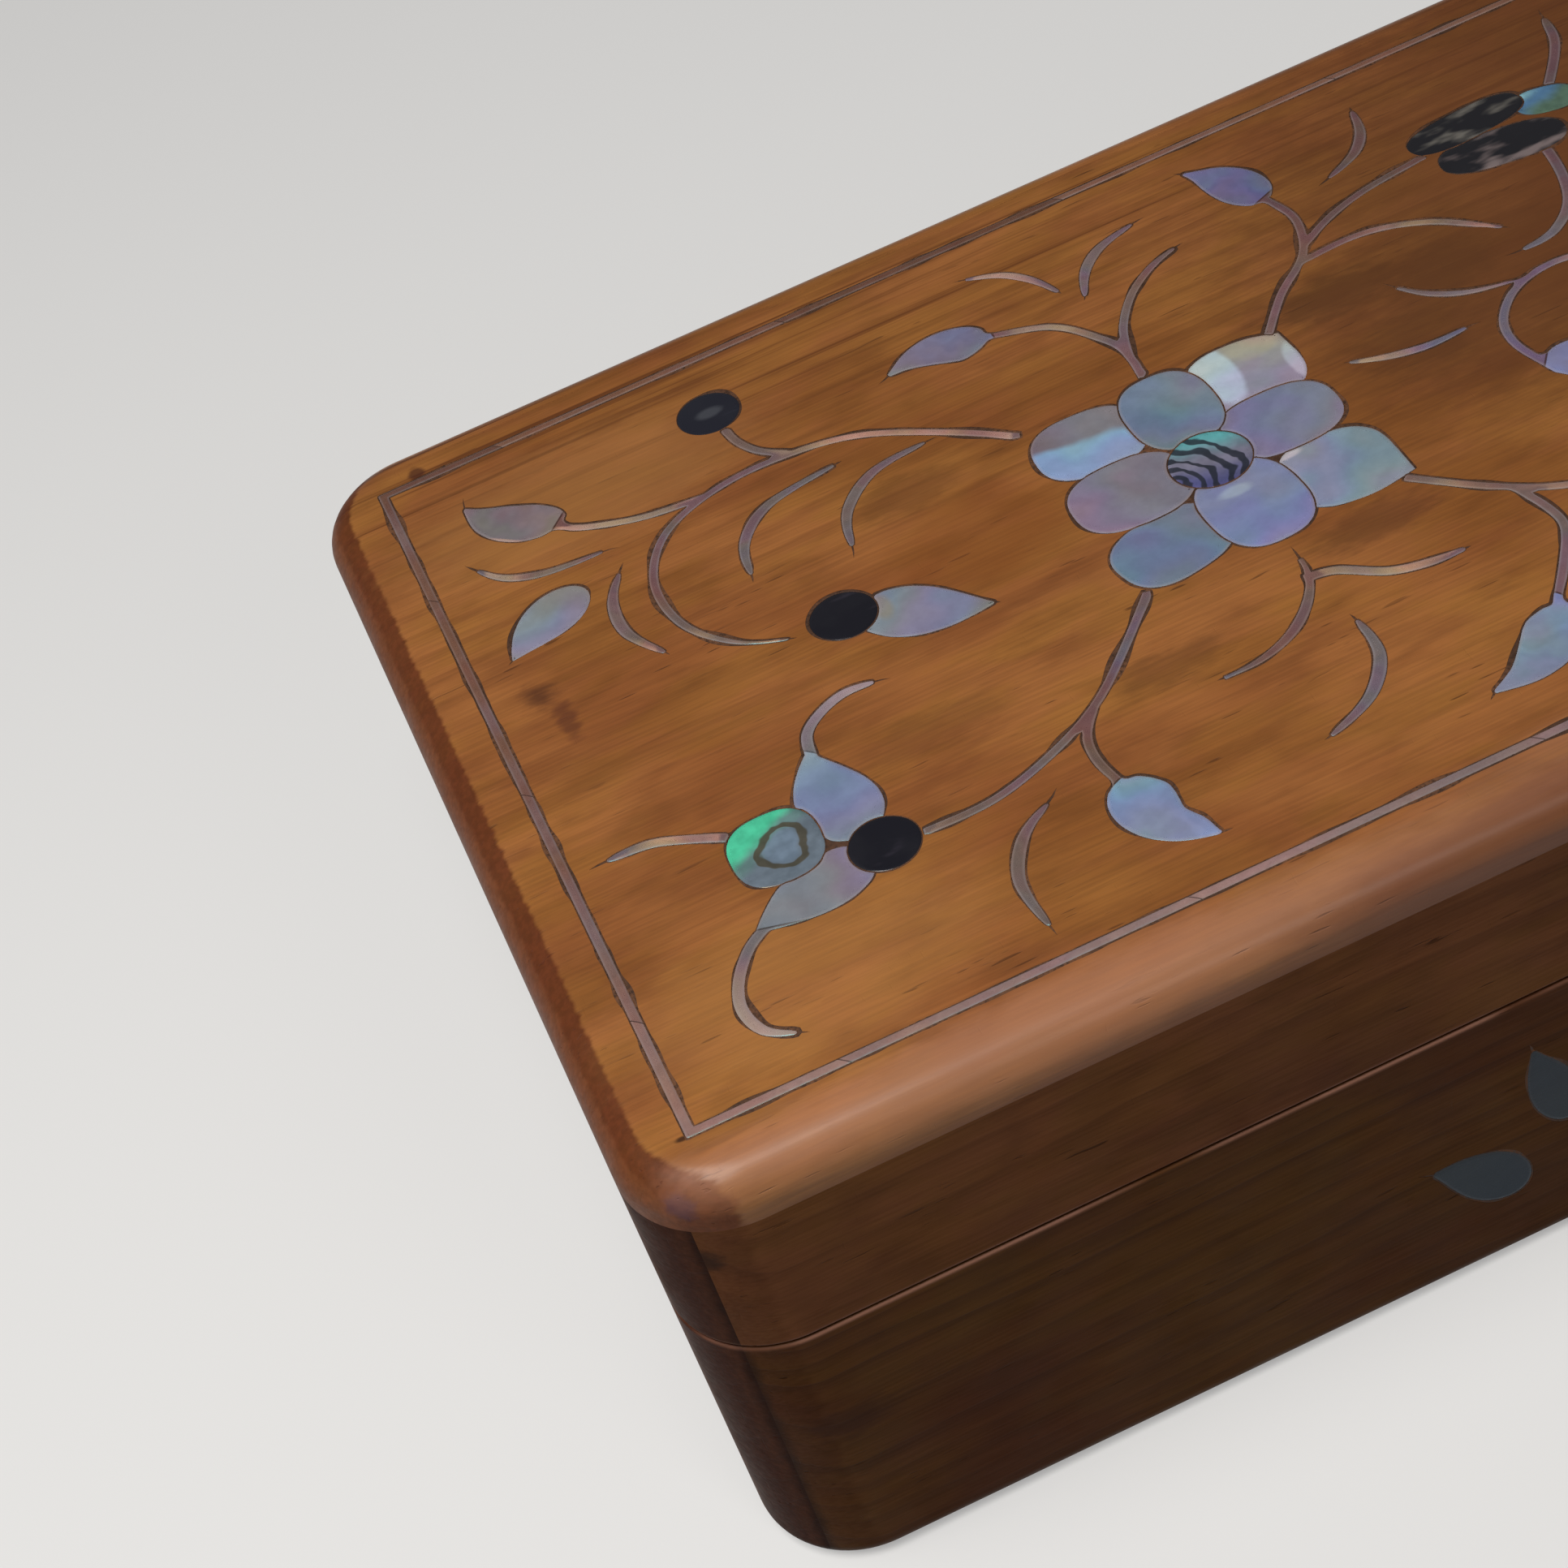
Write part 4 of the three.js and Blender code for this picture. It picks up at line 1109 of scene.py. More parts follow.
        rough = g.ramp(figure["Fibres"], 0.3, 0.7, 0.5, 0.4) + scuffs["Rubbed"] * 0.1 + figure["Pores"] * 0.2
        height = figure["Fibres"] * 0.35 - figure["Pores"] - scuffs["Scratches"] * 0.3 - figure["Rings"] * 0.25
        g.fill(shader, {
            "Base Color": colour, "Roughness": rough, "Coat Roughness": 0.28, "Specular IOR Level": self.sheen,
            "Coat Weight": g.ramp(ends["Mask"], 0, 1, self.gloss, self.gloss * 0.1),
            "Normal": g.bump(height, 0.06 * MM),
        })
        return material


@dataclass(frozen=True)
class Patch:
    """A leaf on its stem, cut from another shell.

    Args:
        base: Where it starts within the face, in mm.
        tip: Where it ends.
        near: Its colour at the start.
        far: Its colour at the tip.
        half: How far it reaches to either side of its spine, in mm.
    """

    base: tuple[float, float]
    tip: tuple[float, float]
    near: Colour
    far: Colour
    half: float = 6.4

    def over(self, g: Graph, figure: Values, colour: Value, cloud: Colour, plane: InlayPlane) -> Value:
        """Lays the leaf's own shell over a colour.

        Args:
            g: The material's nodes.
            figure: The shell's figure.
            colour: The colour under it.
            cloud: Colour of the clouds over it.
            plane: The face that it lies in.

        Returns:
            The colour with the leaf, and with a dark seam at its start.
        """
        spine = Vector(self.tip) - Vector(self.base)
        heading = spine.normalized()
        mm = g.in_mm(g.place())
        away = mm - plane.place(Vector(self.base) * MM, 0.0) / MM
        along, side = g.dot(away, heading.to_3d()), g.dot(away, (-heading.y, heading.x, 0.0))
        near = g.ramp(abs(side), self.half, self.half + 0.2, 1, 0)
        near = near * g.ramp(along, spine.length + 1, spine.length + 1.2, 1, 0)
        tone = g.mix(g.ramp(along, 0, spine.length), self.near, self.far)
        tone = g.mix(figure["Clouds"] * 0.3, tone, cloud)
        colour = g.mix(near * g.ramp(along, 0.05, 0.2), colour, tone)
        return g.mix(near * g.ramp(abs(along), 0.06, 0.2, 0.8, 0), colour, SEAM_GLUE)


@dataclass(frozen=True)
class ShellFinish:
    """Polished pearl shell.

    Args:
        name: The material's name.
        near, far, cloud: Colours at the start and the end of the sweep, and of the clouds over both.
        turn: The way of the sweep, in degrees from +X to +Y, or to +Z on the front.
        shift: How far past the piece's middle the two tones meet, in mm.
        spread, waver: How wide the change is, in mm, and how far its lines stray.
        veil, lustre: How strongly the clouds show, and how strongly the colours play.
        seed: Tells one shell from another.
        patches: Parts with other colours.
        strips: The length of the strips in a row, or 0 where the piece is whole.
        glows: Soft bright or dark places on it; the bright ones on the petals are painted highlights.
        rim: How pale its rubbed edge is.
        gleam: How strongly a painted highlight lies on stretches that run across the view.
        gloss: How strongly it reflects, where 1 is well polished.
    """

    name: str
    near: Colour
    far: Colour
    cloud: Colour
    turn: float
    shift: float
    spread: float
    waver: float
    veil: float
    seed: float
    patches: tuple[Patch, ...] = ()
    strips: float = 0.0
    glows: tuple[Mark, ...] = ()
    lustre: float = 0.2
    rim: float = 0.3
    gleam: float = 0.0
    gloss: float = 1.0

    def build(self, effects: Effects, middle: Vector, plane: InlayPlane) -> Material:
        """Builds the material.

        Args:
            effects: The shared effects.
            middle: The middle of the piece, within its face.
            plane: The face that it is let into.

        Returns:
            The material.
        """
        material, g, shader = new_material(self.name, self.near)
        place = g.place()
        way = Vector((math.cos(math.radians(self.turn)), math.sin(math.radians(self.turn))))
        figure = g.group(effects.shell_figure, {
            "Vector": place, "Middle": plane.place(middle + way * self.shift * MM, 0.0) / MM,
            "Way": plane.place(way, plane.level), "Spread": self.spread, "Waver": self.waver, "Seed": self.seed,
        })
        colour = g.mix(figure["Sweep"], self.near, self.far)
        colour = g.mix(figure["Clouds"] * self.veil, colour, self.cloud)
        # Painted highlight: stretches that run across the view are painted pale, in broken patches.
        if self.gleam:
            lie = g.node("ShaderNodeAttribute", attribute_name="lie")["Fac"]
            broken = g.ramp(g.noise(place, 60, 2, self.seed), 0.36, 0.56)
            colour = g.mix(g.ramp(lie, 0.8, 1, 0, self.gleam) * broken, colour, SHELL_PAINTED_HIGHLIGHT)
        # Soft places of another tone; on the petals, painted highlights.
        for number, glow in enumerate(self.glows):
            colour = glow.over(g, effects, colour, number * 3.1)
        for patch in self.patches:
            colour = patch.over(g, figure, colour, self.cloud, plane)
        lustre = g.mix(1, colour, g.mix(0.5, (1, 1, 1), figure["Lustre"]), "MULTIPLY")
        colour = g.mix(self.lustre, colour, g.tinted(lustre, 1.5))
        edge = g.node("ShaderNodeAttribute", attribute_name="rim")["Fac"]
        colour = g.mix(g.ramp(edge, 0.1, 1, 0, self.rim), colour, g.mix(figure["Clouds"], *SHELL_RIM))
        shade = g.ramp(figure["Lines"], 0, 1, 0.96, 1.03) * g.ramp(figure["Fine"], 0.3, 0.7, 0.97, 1.03)
        colour = g.tinted(colour, shade)
        if self.strips:
            strips = g.group(effects.strip_joints, {"Vector": place, "Length": self.strips, "Start": 13})
            colour = g.tinted(colour, g.ramp(strips["Tone"], 0, 1, 0.72, 1.2))
            colour = g.mix(strips["Joint"] * 0.8, colour, JOINT_GLUE)
        g.fill(shader, {
            "Base Color": colour, "Roughness": g.ramp(figure["Fine"], 0.3, 0.7, 0.2, 0.36),
            "Specular IOR Level": 0.5 * self.gloss, "Coat Weight": 0.15 * self.gloss, "Coat Roughness": 0.15,
            "Thin Film Thickness": 380.0 * self.gloss,
            "Normal": g.bump(figure["Lines"] * 0.6 + figure["Fine"] * 0.2, 0.012 * MM),
        })
        return material


@dataclass(frozen=True)
class AbaloneFinish:
    """Polished abalone shell, with dark wavy bands or a ring.

    Args:
        name: The material's name.
        near, between, far: Colours at the start of the sweep, halfway and at its end.
        sweep, middle, reach: The sweep's direction, and its middle and length to either side, in mm.
        heart: The place that the dark bands run round, in mm.
        first, step, thick: The first band's radius, the bands' distance and their thickness, in mm.
        count: How many bands there are.
        seed: Tells one shell from another.
        dark, core: Colours of the bands and, where it has one, within the first band.
    """

    name: str
    near: Colour
    between: Colour
    far: Colour
    sweep: Colour
    middle: Colour
    reach: float
    heart: Colour
    first: float
    step: float
    count: int
    thick: float
    seed: float
    dark: Colour = (0.015, 0.014, 0.022)
    core: Colour | None = None

    def build(self, effects: Effects) -> Material:
        """Returns the material."""
        material, g, shader = new_material(self.name, self.between)
        place = g.in_mm(g.place())
        wave = g.noise(place, 0.26, 2, self.seed)
        stray = (wave - 0.5) * 3.6
        swept = g.dot(place - self.middle, self.sweep) + stray
        colour = g.mix(g.ramp(swept, -self.reach, 0), self.near, self.between)
        colour = g.mix(g.ramp(swept, 0, self.reach), colour, self.far)
        out = g.length(place - self.heart) + stray - self.first
        if self.core:
            colour = g.mix(g.ramp(out, -1.2, -0.2, 0.85, 0), colour, self.core)
        turns = out / self.step + 0.5
        half = g.noise(place, 0.35, 1, self.seed + 5) * (self.thick / self.step)
        edge = abs(g.math("FRACT", turns) - 0.5) / half
        there = g.ramp(turns, 0, 0.01) * g.ramp(turns, self.count, self.count + 0.01, 1, 0)
        lines = g.ramp(edge, 0.7, 1.2, 0.92, 0) * there
        colour = g.mix(lines, colour, self.dark)
        g.fill(shader, {
            "Base Color": g.tinted(colour, g.ramp(g.noise(place, 0.5, 2, self.seed), 0.3, 0.7, 0.85, 1.15)),
            "Roughness": g.ramp(wave, 0.3, 0.7, 0.16, 0.3), "Specular IOR Level": 0.5, "Coat Weight": 0.2,
            "Coat Roughness": 0.12, "Thin Film Thickness": 460, "Normal": g.bump(lines + wave, 0.02 * MM),
        })
        return material


@dataclass(frozen=True)
class HornFinish:
    """Polished dark horn.

    Args:
        name: The material's name.
        dark: The main colour.
        streak: Colour of the streaks.
        amount: How much of it is streaks, from 0 to 1.
        glints: Pale highlights painted on it.
        seed: Tells one disc from another.
    """

    name: str
    dark: Colour
    streak: Colour
    amount: float
    glints: tuple[Mark, ...] = ()
    seed: float = 1.0

    def build(self, effects: Effects) -> Material:
        """Returns the material."""
        material, g, shader = new_material(self.name, self.dark)
        coords = g.place()
        veins = g.streaks(g.in_mm(coords), (0.16, 0.42, 0.3), 2, self.seed)
        low = 0.7 - self.amount * 0.4
        colour = g.mix(g.ramp(veins, low, low + 0.22), self.dark, self.streak)
        # Painted highlights: pale glints laid over the horn's colour.
        for glint in self.glints:
            colour = glint.over(g, effects, colour, 2.0)
        scuffs = g.group(effects.scuffs, {"Vector": coords, "Seed": self.seed})
        g.fill(shader, {
            "Base Color": colour, "Roughness": g.ramp(scuffs["Rubbed"], 0, 1, 0.2, 0.36),
            "Coat Weight": 0.2, "Coat Roughness": 0.14,
            "Normal": g.bump(veins - scuffs["Scratches"] * 0.4, 0.02 * MM),
        })
        return material


@dataclass(frozen=True)
class BrassFinish:
    """Old brass, bright where it is rubbed and brown where it isn't."""

    name: str
    bright: Colour = (0.55, 0.36, 0.13)
    tarnish: Colour = (0.13, 0.075, 0.03)
    seed: float = 5.0

    def build(self, effects: Effects) -> Material:
        """Returns the material."""
        material, g, shader = new_material(self.name, self.bright)
        coords = g.place()
        place = g.in_mm(coords)
        scuffs = g.group(effects.scuffs, {"Vector": coords, "Seed": self.seed})
        spots = g.ramp(g.noise(place, 0.8, 4, self.seed), 0.42, 0.7)
        drawn = g.streaks(place, (0.4, 9, 9), 2)
        g.fill(shader, {
            "Base Color": g.mix(spots * 0.75, self.bright, self.tarnish),
            "Roughness": g.ramp(spots, 0, 1, 0.3, 0.55), "Metallic": 1,
            "Normal": g.bump(drawn * 0.4 - scuffs["Scratches"] * 0.5, 0.02 * MM),
        })
        return material


@dataclass(frozen=True)
class FillerFinish:
    """Dark glue and sawdust in the gaps round the inlay."""

    name: str
    dark: Colour = (0.042, 0.021, 0.013)
    brown: Colour = (0.13, 0.055, 0.025)

    def build(self) -> Material:
        """Returns the material."""
        material, g, shader = new_material(self.name, self.dark)
        place = g.in_mm(g.place())
        crumbs = g.noise(place, 2.2, 4, 3)
        tone = g.ramp(crumbs, 0.3, 0.6) * g.ramp(g.noise(place, 0.14, 3, 8), 0.4, 0.62, 0.25, 1)
        g.fill(shader, {
            "Base Color": g.mix(tone, self.dark, self.brown), "Roughness": g.ramp(crumbs, 0.3, 0.7, 0.5, 0.75),
            "Specular IOR Level": 0.3, "Normal": g.bump(crumbs, 0.04 * MM),
        })
        return material


# Sub-assemblies


@dataclass(frozen=True)
class Hollow:
    """A hollow in one side of a leaf, towards its tip.

    Args:
        base: Where the leaf starts, in mm.
        tip: Where it ends.
        depth: How deep the hollow is, positive on the left side and negative on the right.
    """

    base: tuple[float, float]
    tip: tuple[float, float]
    depth: float

    def cut(self, loop: Loop, start: float = 0.35, reach: float = 7.0) -> Loop:
        """Returns the outline with the hollow, which starts at a share of the leaf's length."""
        spine = Vector(self.tip) - Vector(self.base)
        way = spine.normalized()
        side = Vector((-way.y, way.x)) * math.copysign(1.0, self.depth)
        result = []
        for point in loop:
            away = point / MM - Vector(self.base)
            t, across = away.dot(way) / spine.length, away.dot(side)
            if start < t < 1 and 0 < across < reach:
                fall = math.sin(math.pi * (t - start) / (1 - start)) * min(1.0, across)
                point = point - side * fall * abs(self.depth) * MM
            result.append(point)
        return result


@dataclass
class Case:
    """The boards of the lower half and of the lid.

    Args:
        sizes: The case's sizes.
        effects: The shared effects; not used.
    """

    sizes: CaseSizes
    effects: Effects

    def rim_cutter(self, rim: float, far: float, side: int) -> Mesh:
        """Returns the hollow of a half, a little wider where it meets the rim.

        Args:
            rim: The height of the rim.
            far: The height of the hollow's other end.
            side: 1 where the hollow lies above the rim, -1 where it lies below.

        Returns:
            The cutter's mesh.
        """
        s = self.sizes
        x, y = s.half.x - s.wall, s.half.y - s.wall
        steps = [(s.easing, -s.overrun), (s.easing, 0.0), (s.easing * 0.3, s.easing * 0.35), (0.0, s.easing)]
        levels = [(grow, rim + side * rise) for grow, rise in steps] + [(0.0, far)]
        if side < 0:
            levels.reverse()
        corners = ((-1, -1), (1, -1), (1, 1), (-1, 1))
        rings = [[(a * (x + grow), b * (y + grow), z) for a, b in corners] for grow, z in levels]
        return lofted("cutter_hollow", rings)

    def boards(
        self, whole: Mesh, low: float, high: float, cuts: list[Mesh], rear: list[Mesh], front: list[Mesh]
    ) -> dict[str, Mesh]:
        """Splits a half into its four boards.

        Args:
            whole: The solid half.
            low: A height below it.
            high: A height above it.
            cuts: The cutters that shape every board.
            rear: The cutters of the rear board alone.
            front: The cutters of the front board alone.

        Returns:
            The mesh of each board by its place.
        """
        s = self.sizes
        lip = s.half.x - s.lip
        rooms = {"front": s.strip(-1, lip, low, high), "rear": s.strip(1, lip, low, high)}
        shell = carved(whole, [("DIFFERENCE", cut) for cut in cuts])
        ends = carved(shell.copy(), [("DIFFERENCE", room.copy()) for room in rooms.values()])
        own = {"front": front, "rear": rear}
        boards = {}
        for place, room in rooms.items():
            steps = [("INTERSECT", room)] + [("DIFFERENCE", cut) for cut in own[place]]
            boards[place] = carved(shell.copy(), steps)
        for place, side in (("left", -1), ("right", 1)):
            boards[place] = carved(ends.copy(), [("INTERSECT", s.end(side, low, high))])
        return boards

    def build_box(self, front_pockets: list) -> dict[str, Mesh]:
        """Returns the boards of the lower half."""
        s = self.sizes
        rim = s.parting - s.parting_gap / 2
        x, y = (half - s.wall + s.rabbet for half in s.half)
        rabbet = block(Vector((-x, -y, -s.overrun)), Vector((x, y, s.bottom)))
        cuts = [s.groove(), self.rim_cutter(rim, -s.overrun, -1), rabbet]
        whole = s.rounded(s.body_levels())
        boards = self.boards(whole, -s.overrun, rim + s.overrun, cuts, s.hinge_rooms(-1), front_pockets)
        gap = s.fit
        plate = block(Vector((gap - x, gap - y, 0.0)), Vector((x - gap, y - gap, s.bottom)))
        outline = s.rounded(s.body_levels())
        boards["bottom"] = carved(plate, [("INTERSECT", outline)], ease=0.25 * MM)
        return boards

    def build_lid_rails(self) -> dict[str, Mesh]:
        """Returns the four rails under the lid's top."""
        s = self.sizes
        rim = s.parting + s.parting_gap / 2
        under = s.height - s.top
        reach = s.half + Vector((s.overrun, s.overrun))
        above = block(Vector((-reach.x, -reach.y, under)), Vector((reach.x, reach.y, s.height + s.overrun)))
        cuts = [s.groove(), self.rim_cutter(rim, under + s.overrun, 1), above]
        whole = s.rounded(s.lid_levels())
        return self.boards(whole, rim - s.overrun, under + s.overrun, cuts, s.hinge_rooms(1), [])

    def build_lid_top(self, pockets: Sequence[Loop], depth: float) -> Mesh:
        """Builds the lid's top board with the pockets for the inlay let into it.

        Args:
            pockets: The pockets' outlines, with the pocket on their left.
            depth: How deep the pockets are.

        Returns:
            The board's mesh.
        """
        s = self.sizes
        under = s.height - s.top
        levels = [(0.0, under)] + [level for level in s.lid_levels() if level[1] > under + 0.01 * MM]
        vertices = [point for inset, z in levels for point in s.ring(inset, z)]
        start, count = len(vertices), len(vertices) // len(levels)
        faces = [tuple(reversed(range(count))), *bands(count, len(levels))]
        rim = [Vector((p.x, p.y)) for p in vertices[-count:]]
        points = [point for loop in pockets for point in loop]
        vertices += [TOP.place(point, SKIN) for point in points]
        vertices += [TOP.place(point, SKIN + depth) for point in points]
        back = list(range(start - count, start))
        for loop, first in zip(pockets, accumulate(map(len, pockets), initial=start)):
            back += [first + i for i in reversed(range(len(loop)))]
            for i in range(len(loop)):
                following = first + (i + 1) % len(loop)
                faces.append((following, first + i, first + i + len(points), following + len(points)))
        faces += [tuple(back[i] for i in face) for face in filled([rim, *(loop[::-1] for loop in pockets)])]
        floor = start + len(points)
        faces += [tuple(floor + i for i in face) for face in filled(pockets)]
        LOG.info("lid top: %d pockets", len(pockets))
        return new_mesh("lid_top", vertices, faces)


@dataclass
class Hinges:
    """A pair of butt hinges with their pins and screws.

    Args:
        sizes: The case's sizes.
        barrel, pin, pin_head, screw_hole, screw_head: Radii of the round parts.
        gap: The gap between moving parts.
        head_length: How long a pin's head is.
        screw_share: How far from the middle the screws lie, as a share of a leaf's length.
        slot_width, slot_depth: Sizes of a screw's slot.
        steps: How many steps a round has.
    """

    sizes: CaseSizes
    barrel: float = 1.6 * MM
    pin: float = 0.7 * MM
    gap: float = 0.3 * MM
    pin_head: float = 1.15 * MM
    head_length: float = 0.8 * MM
    screw_share: float = 0.28
    screw_hole: float = 0.6 * MM
    screw_head: float = 1.3 * MM
    slot_width: float = 0.32 * MM
    slot_depth: float = 0.38 * MM
    steps: int = 40

    def screw_places(self, side: int) -> list[Vector]:
        """Returns the middle of each screw head's face in the leaves of one half."""
        s = self.sizes
        z = s.parting + side * s.parting_gap / 2
        y = s.axis_y - s.knuckle_room - s.leaf_width / 2
        shares = (-self.screw_share, self.screw_share)
        return [
            Vector((x + share * s.hinge_half * 2, y, z))
            for x in (-s.hinge_place, s.hinge_place)
            for share in shares
        ]

    def leaf(self, x: float, side: int, own: Sequence[int]) -> Mesh:
        """Builds one leaf with its knuckles.

        Args:
            x: The hinge's middle.
            side: -1 for the lower leaf and 1 for the upper one.
            own: The numbers of its knuckles.

        Returns:
            The leaf's mesh.
        """
        s = self.sizes
        near = s.parting + side * s.parting_gap / 2
        low, high = sorted((near, near + side * s.leaf_thickness))
        edge = s.axis_y - s.knuckle_room
        front = Vector((x - s.hinge_half, edge - s.leaf_width, low))
        plate = block(front, Vector((x + s.hinge_half, edge, high)))
        pitch = s.hinge_half * 2 / 3
        steps: list[tuple[str, Mesh]] = []
        for knuckle in own:
            middle = x + (knuckle + 0.5) * pitch - s.hinge_half
            half = (pitch - self.gap) / 2
            reach = Vector((middle + half, s.axis_y, high))
            steps.append(("UNION", block(Vector((middle - half, edge - self.gap, low)), reach)))
            steps.append(("UNION", bar(s.circle(self.barrel, self.steps), middle - half, middle + half)))
        bore = bar(s.circle(self.pin + self.gap, self.steps), x - s.pin_reach, x + s.pin_reach)
        steps.append(("DIFFERENCE", bore))
        for place in self.screw_places(side):
            if abs(place.x - x) < s.hinge_half:
                steps.append(("DIFFERENCE", self.countersink(place, side)))
        return carved(plate, steps, ease=0.07 * MM)

    def countersink(self, place: Vector, side: int) -> Mesh:
        """Returns the cutter of a screw hole that opens towards the parting."""
        s = self.sizes
        slope = (self.screw_head - self.screw_hole) / s.leaf_thickness
        rings = [(self.screw_head + slope * s.overrun, -s.overrun), (self.screw_hole, s.leaf_thickness)]
        rings.append((self.screw_hole, s.leaf_thickness + s.overrun))
        return self.turned(place, side, rings)

    def turned(self, place: Vector, side: int, rings: Levels) -> Mesh:
        """Builds an upright turned solid.

        Args:
            place: Where its axis meets the parting face.
            side: 1 where depth counts upwards, -1 where it counts downwards.
            rings: The radius and depth of each ring, from the face inwards.

        Returns:
            The solid's mesh.
        """
        angles = [side * math.tau * step / self.steps for step in range(self.steps)]
        return lofted("turned", [
            [place + Vector((radius * math.cos(a), radius * math.sin(a), side * depth)) for a in angles]
            for radius, depth in rings
        ])

    def pin_mesh(self, x: float) -> Mesh:
        """Returns a pin with a domed head at each end."""
        s = self.sizes
        base = s.pin_reach - self.head_length
        dome = [(self.pin, base), (self.pin_head, base)]
        for step in range(7):
            angle = step / 6 * math.radians(78)
            rise = self.head_length * (0.25 + 0.75 * math.sin(angle))
            dome.append((self.pin_head * math.cos(angle), base + rise))
        profile = [(radius, -along) for radius, along in reversed(dome)] + dome
        rings = [[(x + along, y, z) for y, z in s.circle(radius, self.steps)] for radius, along in profile]
        return lofted("hinge_pin", rings)

    def screw_mesh(self) -> Mesh:
        """Returns one countersunk screw with a slot, its face at the origin and its point along -Z."""
        head = self.screw_head - 0.05 * MM
        rings = [(head * 0.9, 0.0), (head, 0.06 * MM)]
        rings += [(self.screw_hole * 0.86, 0.92 * MM), (self.screw_hole * 0.8, 2.2 * MM), (0.1 * MM, 3.4 * MM)]
        reach, half = self.screw_head, self.slot_width / 2
        slot = block(Vector((-reach, -half, -self.slot_depth)), Vector((reach, half, self.gap)))
        return carved(self.turned(Vector(), -1, rings), [("DIFFERENCE", slot)])

    def set_screws(self, g: Graph, given: Values) -> Value:
        """Adds a screw on every point, each turned its own way."""
        shape = g.node("GeometryNodeObjectInfo", {"Object": given["Screw"]})["Geometry"]
        spin = {2: 0.0, 3: math.pi, "Seed": given["Seed"]}
        turn = g.node("FunctionNodeRandomValue", spin, data_type="FLOAT")[1]
        rotation = given["Flip"] + g.node("ShaderNodeCombineXYZ", {2: turn})[0]
        moved = g.node("GeometryNodeSetPosition", {"Geometry": given["Geometry"], "Offset": given["Sink"]})[0]
        placing = {"Points": moved, "Instance": shape, "Rotation": rotation}
        return g.node("GeometryNodeInstanceOnPoints", placing)[0]

    def screws(self, name: str, side: int, seed: int) -> Object:
        """Sets the same screw into every hole of one half, each turned its own way.

        Args:
            name: The piece's name.
            side: -1 for the lower half and 1 for the lid.
            seed: The number that the turns come from.

        Returns:
            The piece.
        """
        kinds = {"Screw": "Object", "Flip": "Vector", "Sink": "Vector", "Seed": "Int"}
        tree = geometry_tree("set_screws", kinds, self.set_screws)
        work = new_object("work", new_mesh(name, self.screw_places(side), []))
        screw = new_object("one_screw", self.screw_mesh())
        flip = (0.0, 0.0, 0.0) if side < 0 else (math.pi, 0.0, 0.0)
        values = {"Screw": screw, "Flip": flip, "Sink": (0.0, 0.0, side * 0.03 * MM), "Seed": seed}
        run_nodes(work, tree, values)
        mesh = settled(work)
        bpy.data.objects.remove(screw)
        return weighted(name, mesh)


def run_nodes(obj: Object, tree: NodeTree, values: dict) -> None:
    """Puts a Geometry Nodes tree on an object and sets its named inputs."""
    modifier = obj.modifiers.new(tree.name, "NODES")
    modifier.node_group = tree
    for name, value in values.items():
        modifier[tree.interface.items_tree[name].identifier] = value


@dataclass(frozen=True)
class Bead:
    """The crumbs that stand up in the filler round the inlay.

    Args:
        radius: Its thickness, halved.
        away: How far its middle lies from the shell.
        below: How deep its middle lies.
        stray: How far it strays from its line.
        sides: How many sides it has.
    """

    radius: float = 0.08 * MM
    away: float = 0.1 * MM
    below: float = 0.095 * MM
    stray: float = 0.1 * MM
    sides: int = 5
    grain: float = 700.0

    def sweep(self, g: Graph, given: Values) -> Value:
        """Adds an uneven bead along every line of a mesh."""
        curve = g.node("GeometryNodeMeshToCurve", {0: given["Geometry"]})[0]
        place = g.node("GeometryNodeInputPosition")[0]
        inputs = {"Vector": place, "Scale": given["Grain"], "Detail": 2.0, "W": given["Seed"]}
        waver = g.node("ShaderNodeTexNoise", inputs, noise_dimensions="4D")["Color"]
        step = (waver - (0.5, 0.5, 0.5)) * given["Stray"]
        moved = g.node("GeometryNodeSetPosition", {"Geometry": curve, "Offset": step})[0]
        ring = {"Resolution": given["Sides"], "Radius": given["Radius"]}
        section = g.node("GeometryNodeCurvePrimitiveCircle", ring)[0]
        swept = g.node("GeometryNodeCurveToMesh", {0: moved, 1: section})[0]
        return g.node("GeometryNodeSetShadeSmooth", {0: swept})[0]

    def lay(self, name: str, loops: Sequence[Loop], plane: InlayPlane, seed: float) -> Mesh:
        """Lays crumbs of filler round shell pieces.

        Args:
            name: The new mesh's name.
            loops: The pieces' outlines.
            plane: The face that they are let into.
            seed: The number that its unevenness comes from.

        Returns:
            The crumbs' mesh.
        """
        vertices, edges = [], []
        for loop in loops:
            start = len(vertices)
            vertices += [plane.place(point, self.below) for point in offset(loop, self.away)]
            edges += [(start + i, start + (i + 1) % len(loop)) for i in range(len(loop))]
        work = new_object("work", new_mesh(name, vertices, [], edges))
        stray = plane.place(Vector((self.stray, self.stray)), plane.level)
        values = {"Radius": self.radius, "Stray": stray, "Sides": self.sides, "Grain": self.grain, "Seed": seed}
        kinds = {"Radius": "Float", "Stray": "Vector", "Sides": "Int", "Grain": "Float", "Seed": "Float"}
        run_nodes(work, geometry_tree("lay_bead", kinds, self.sweep), values)
        return settled(work)


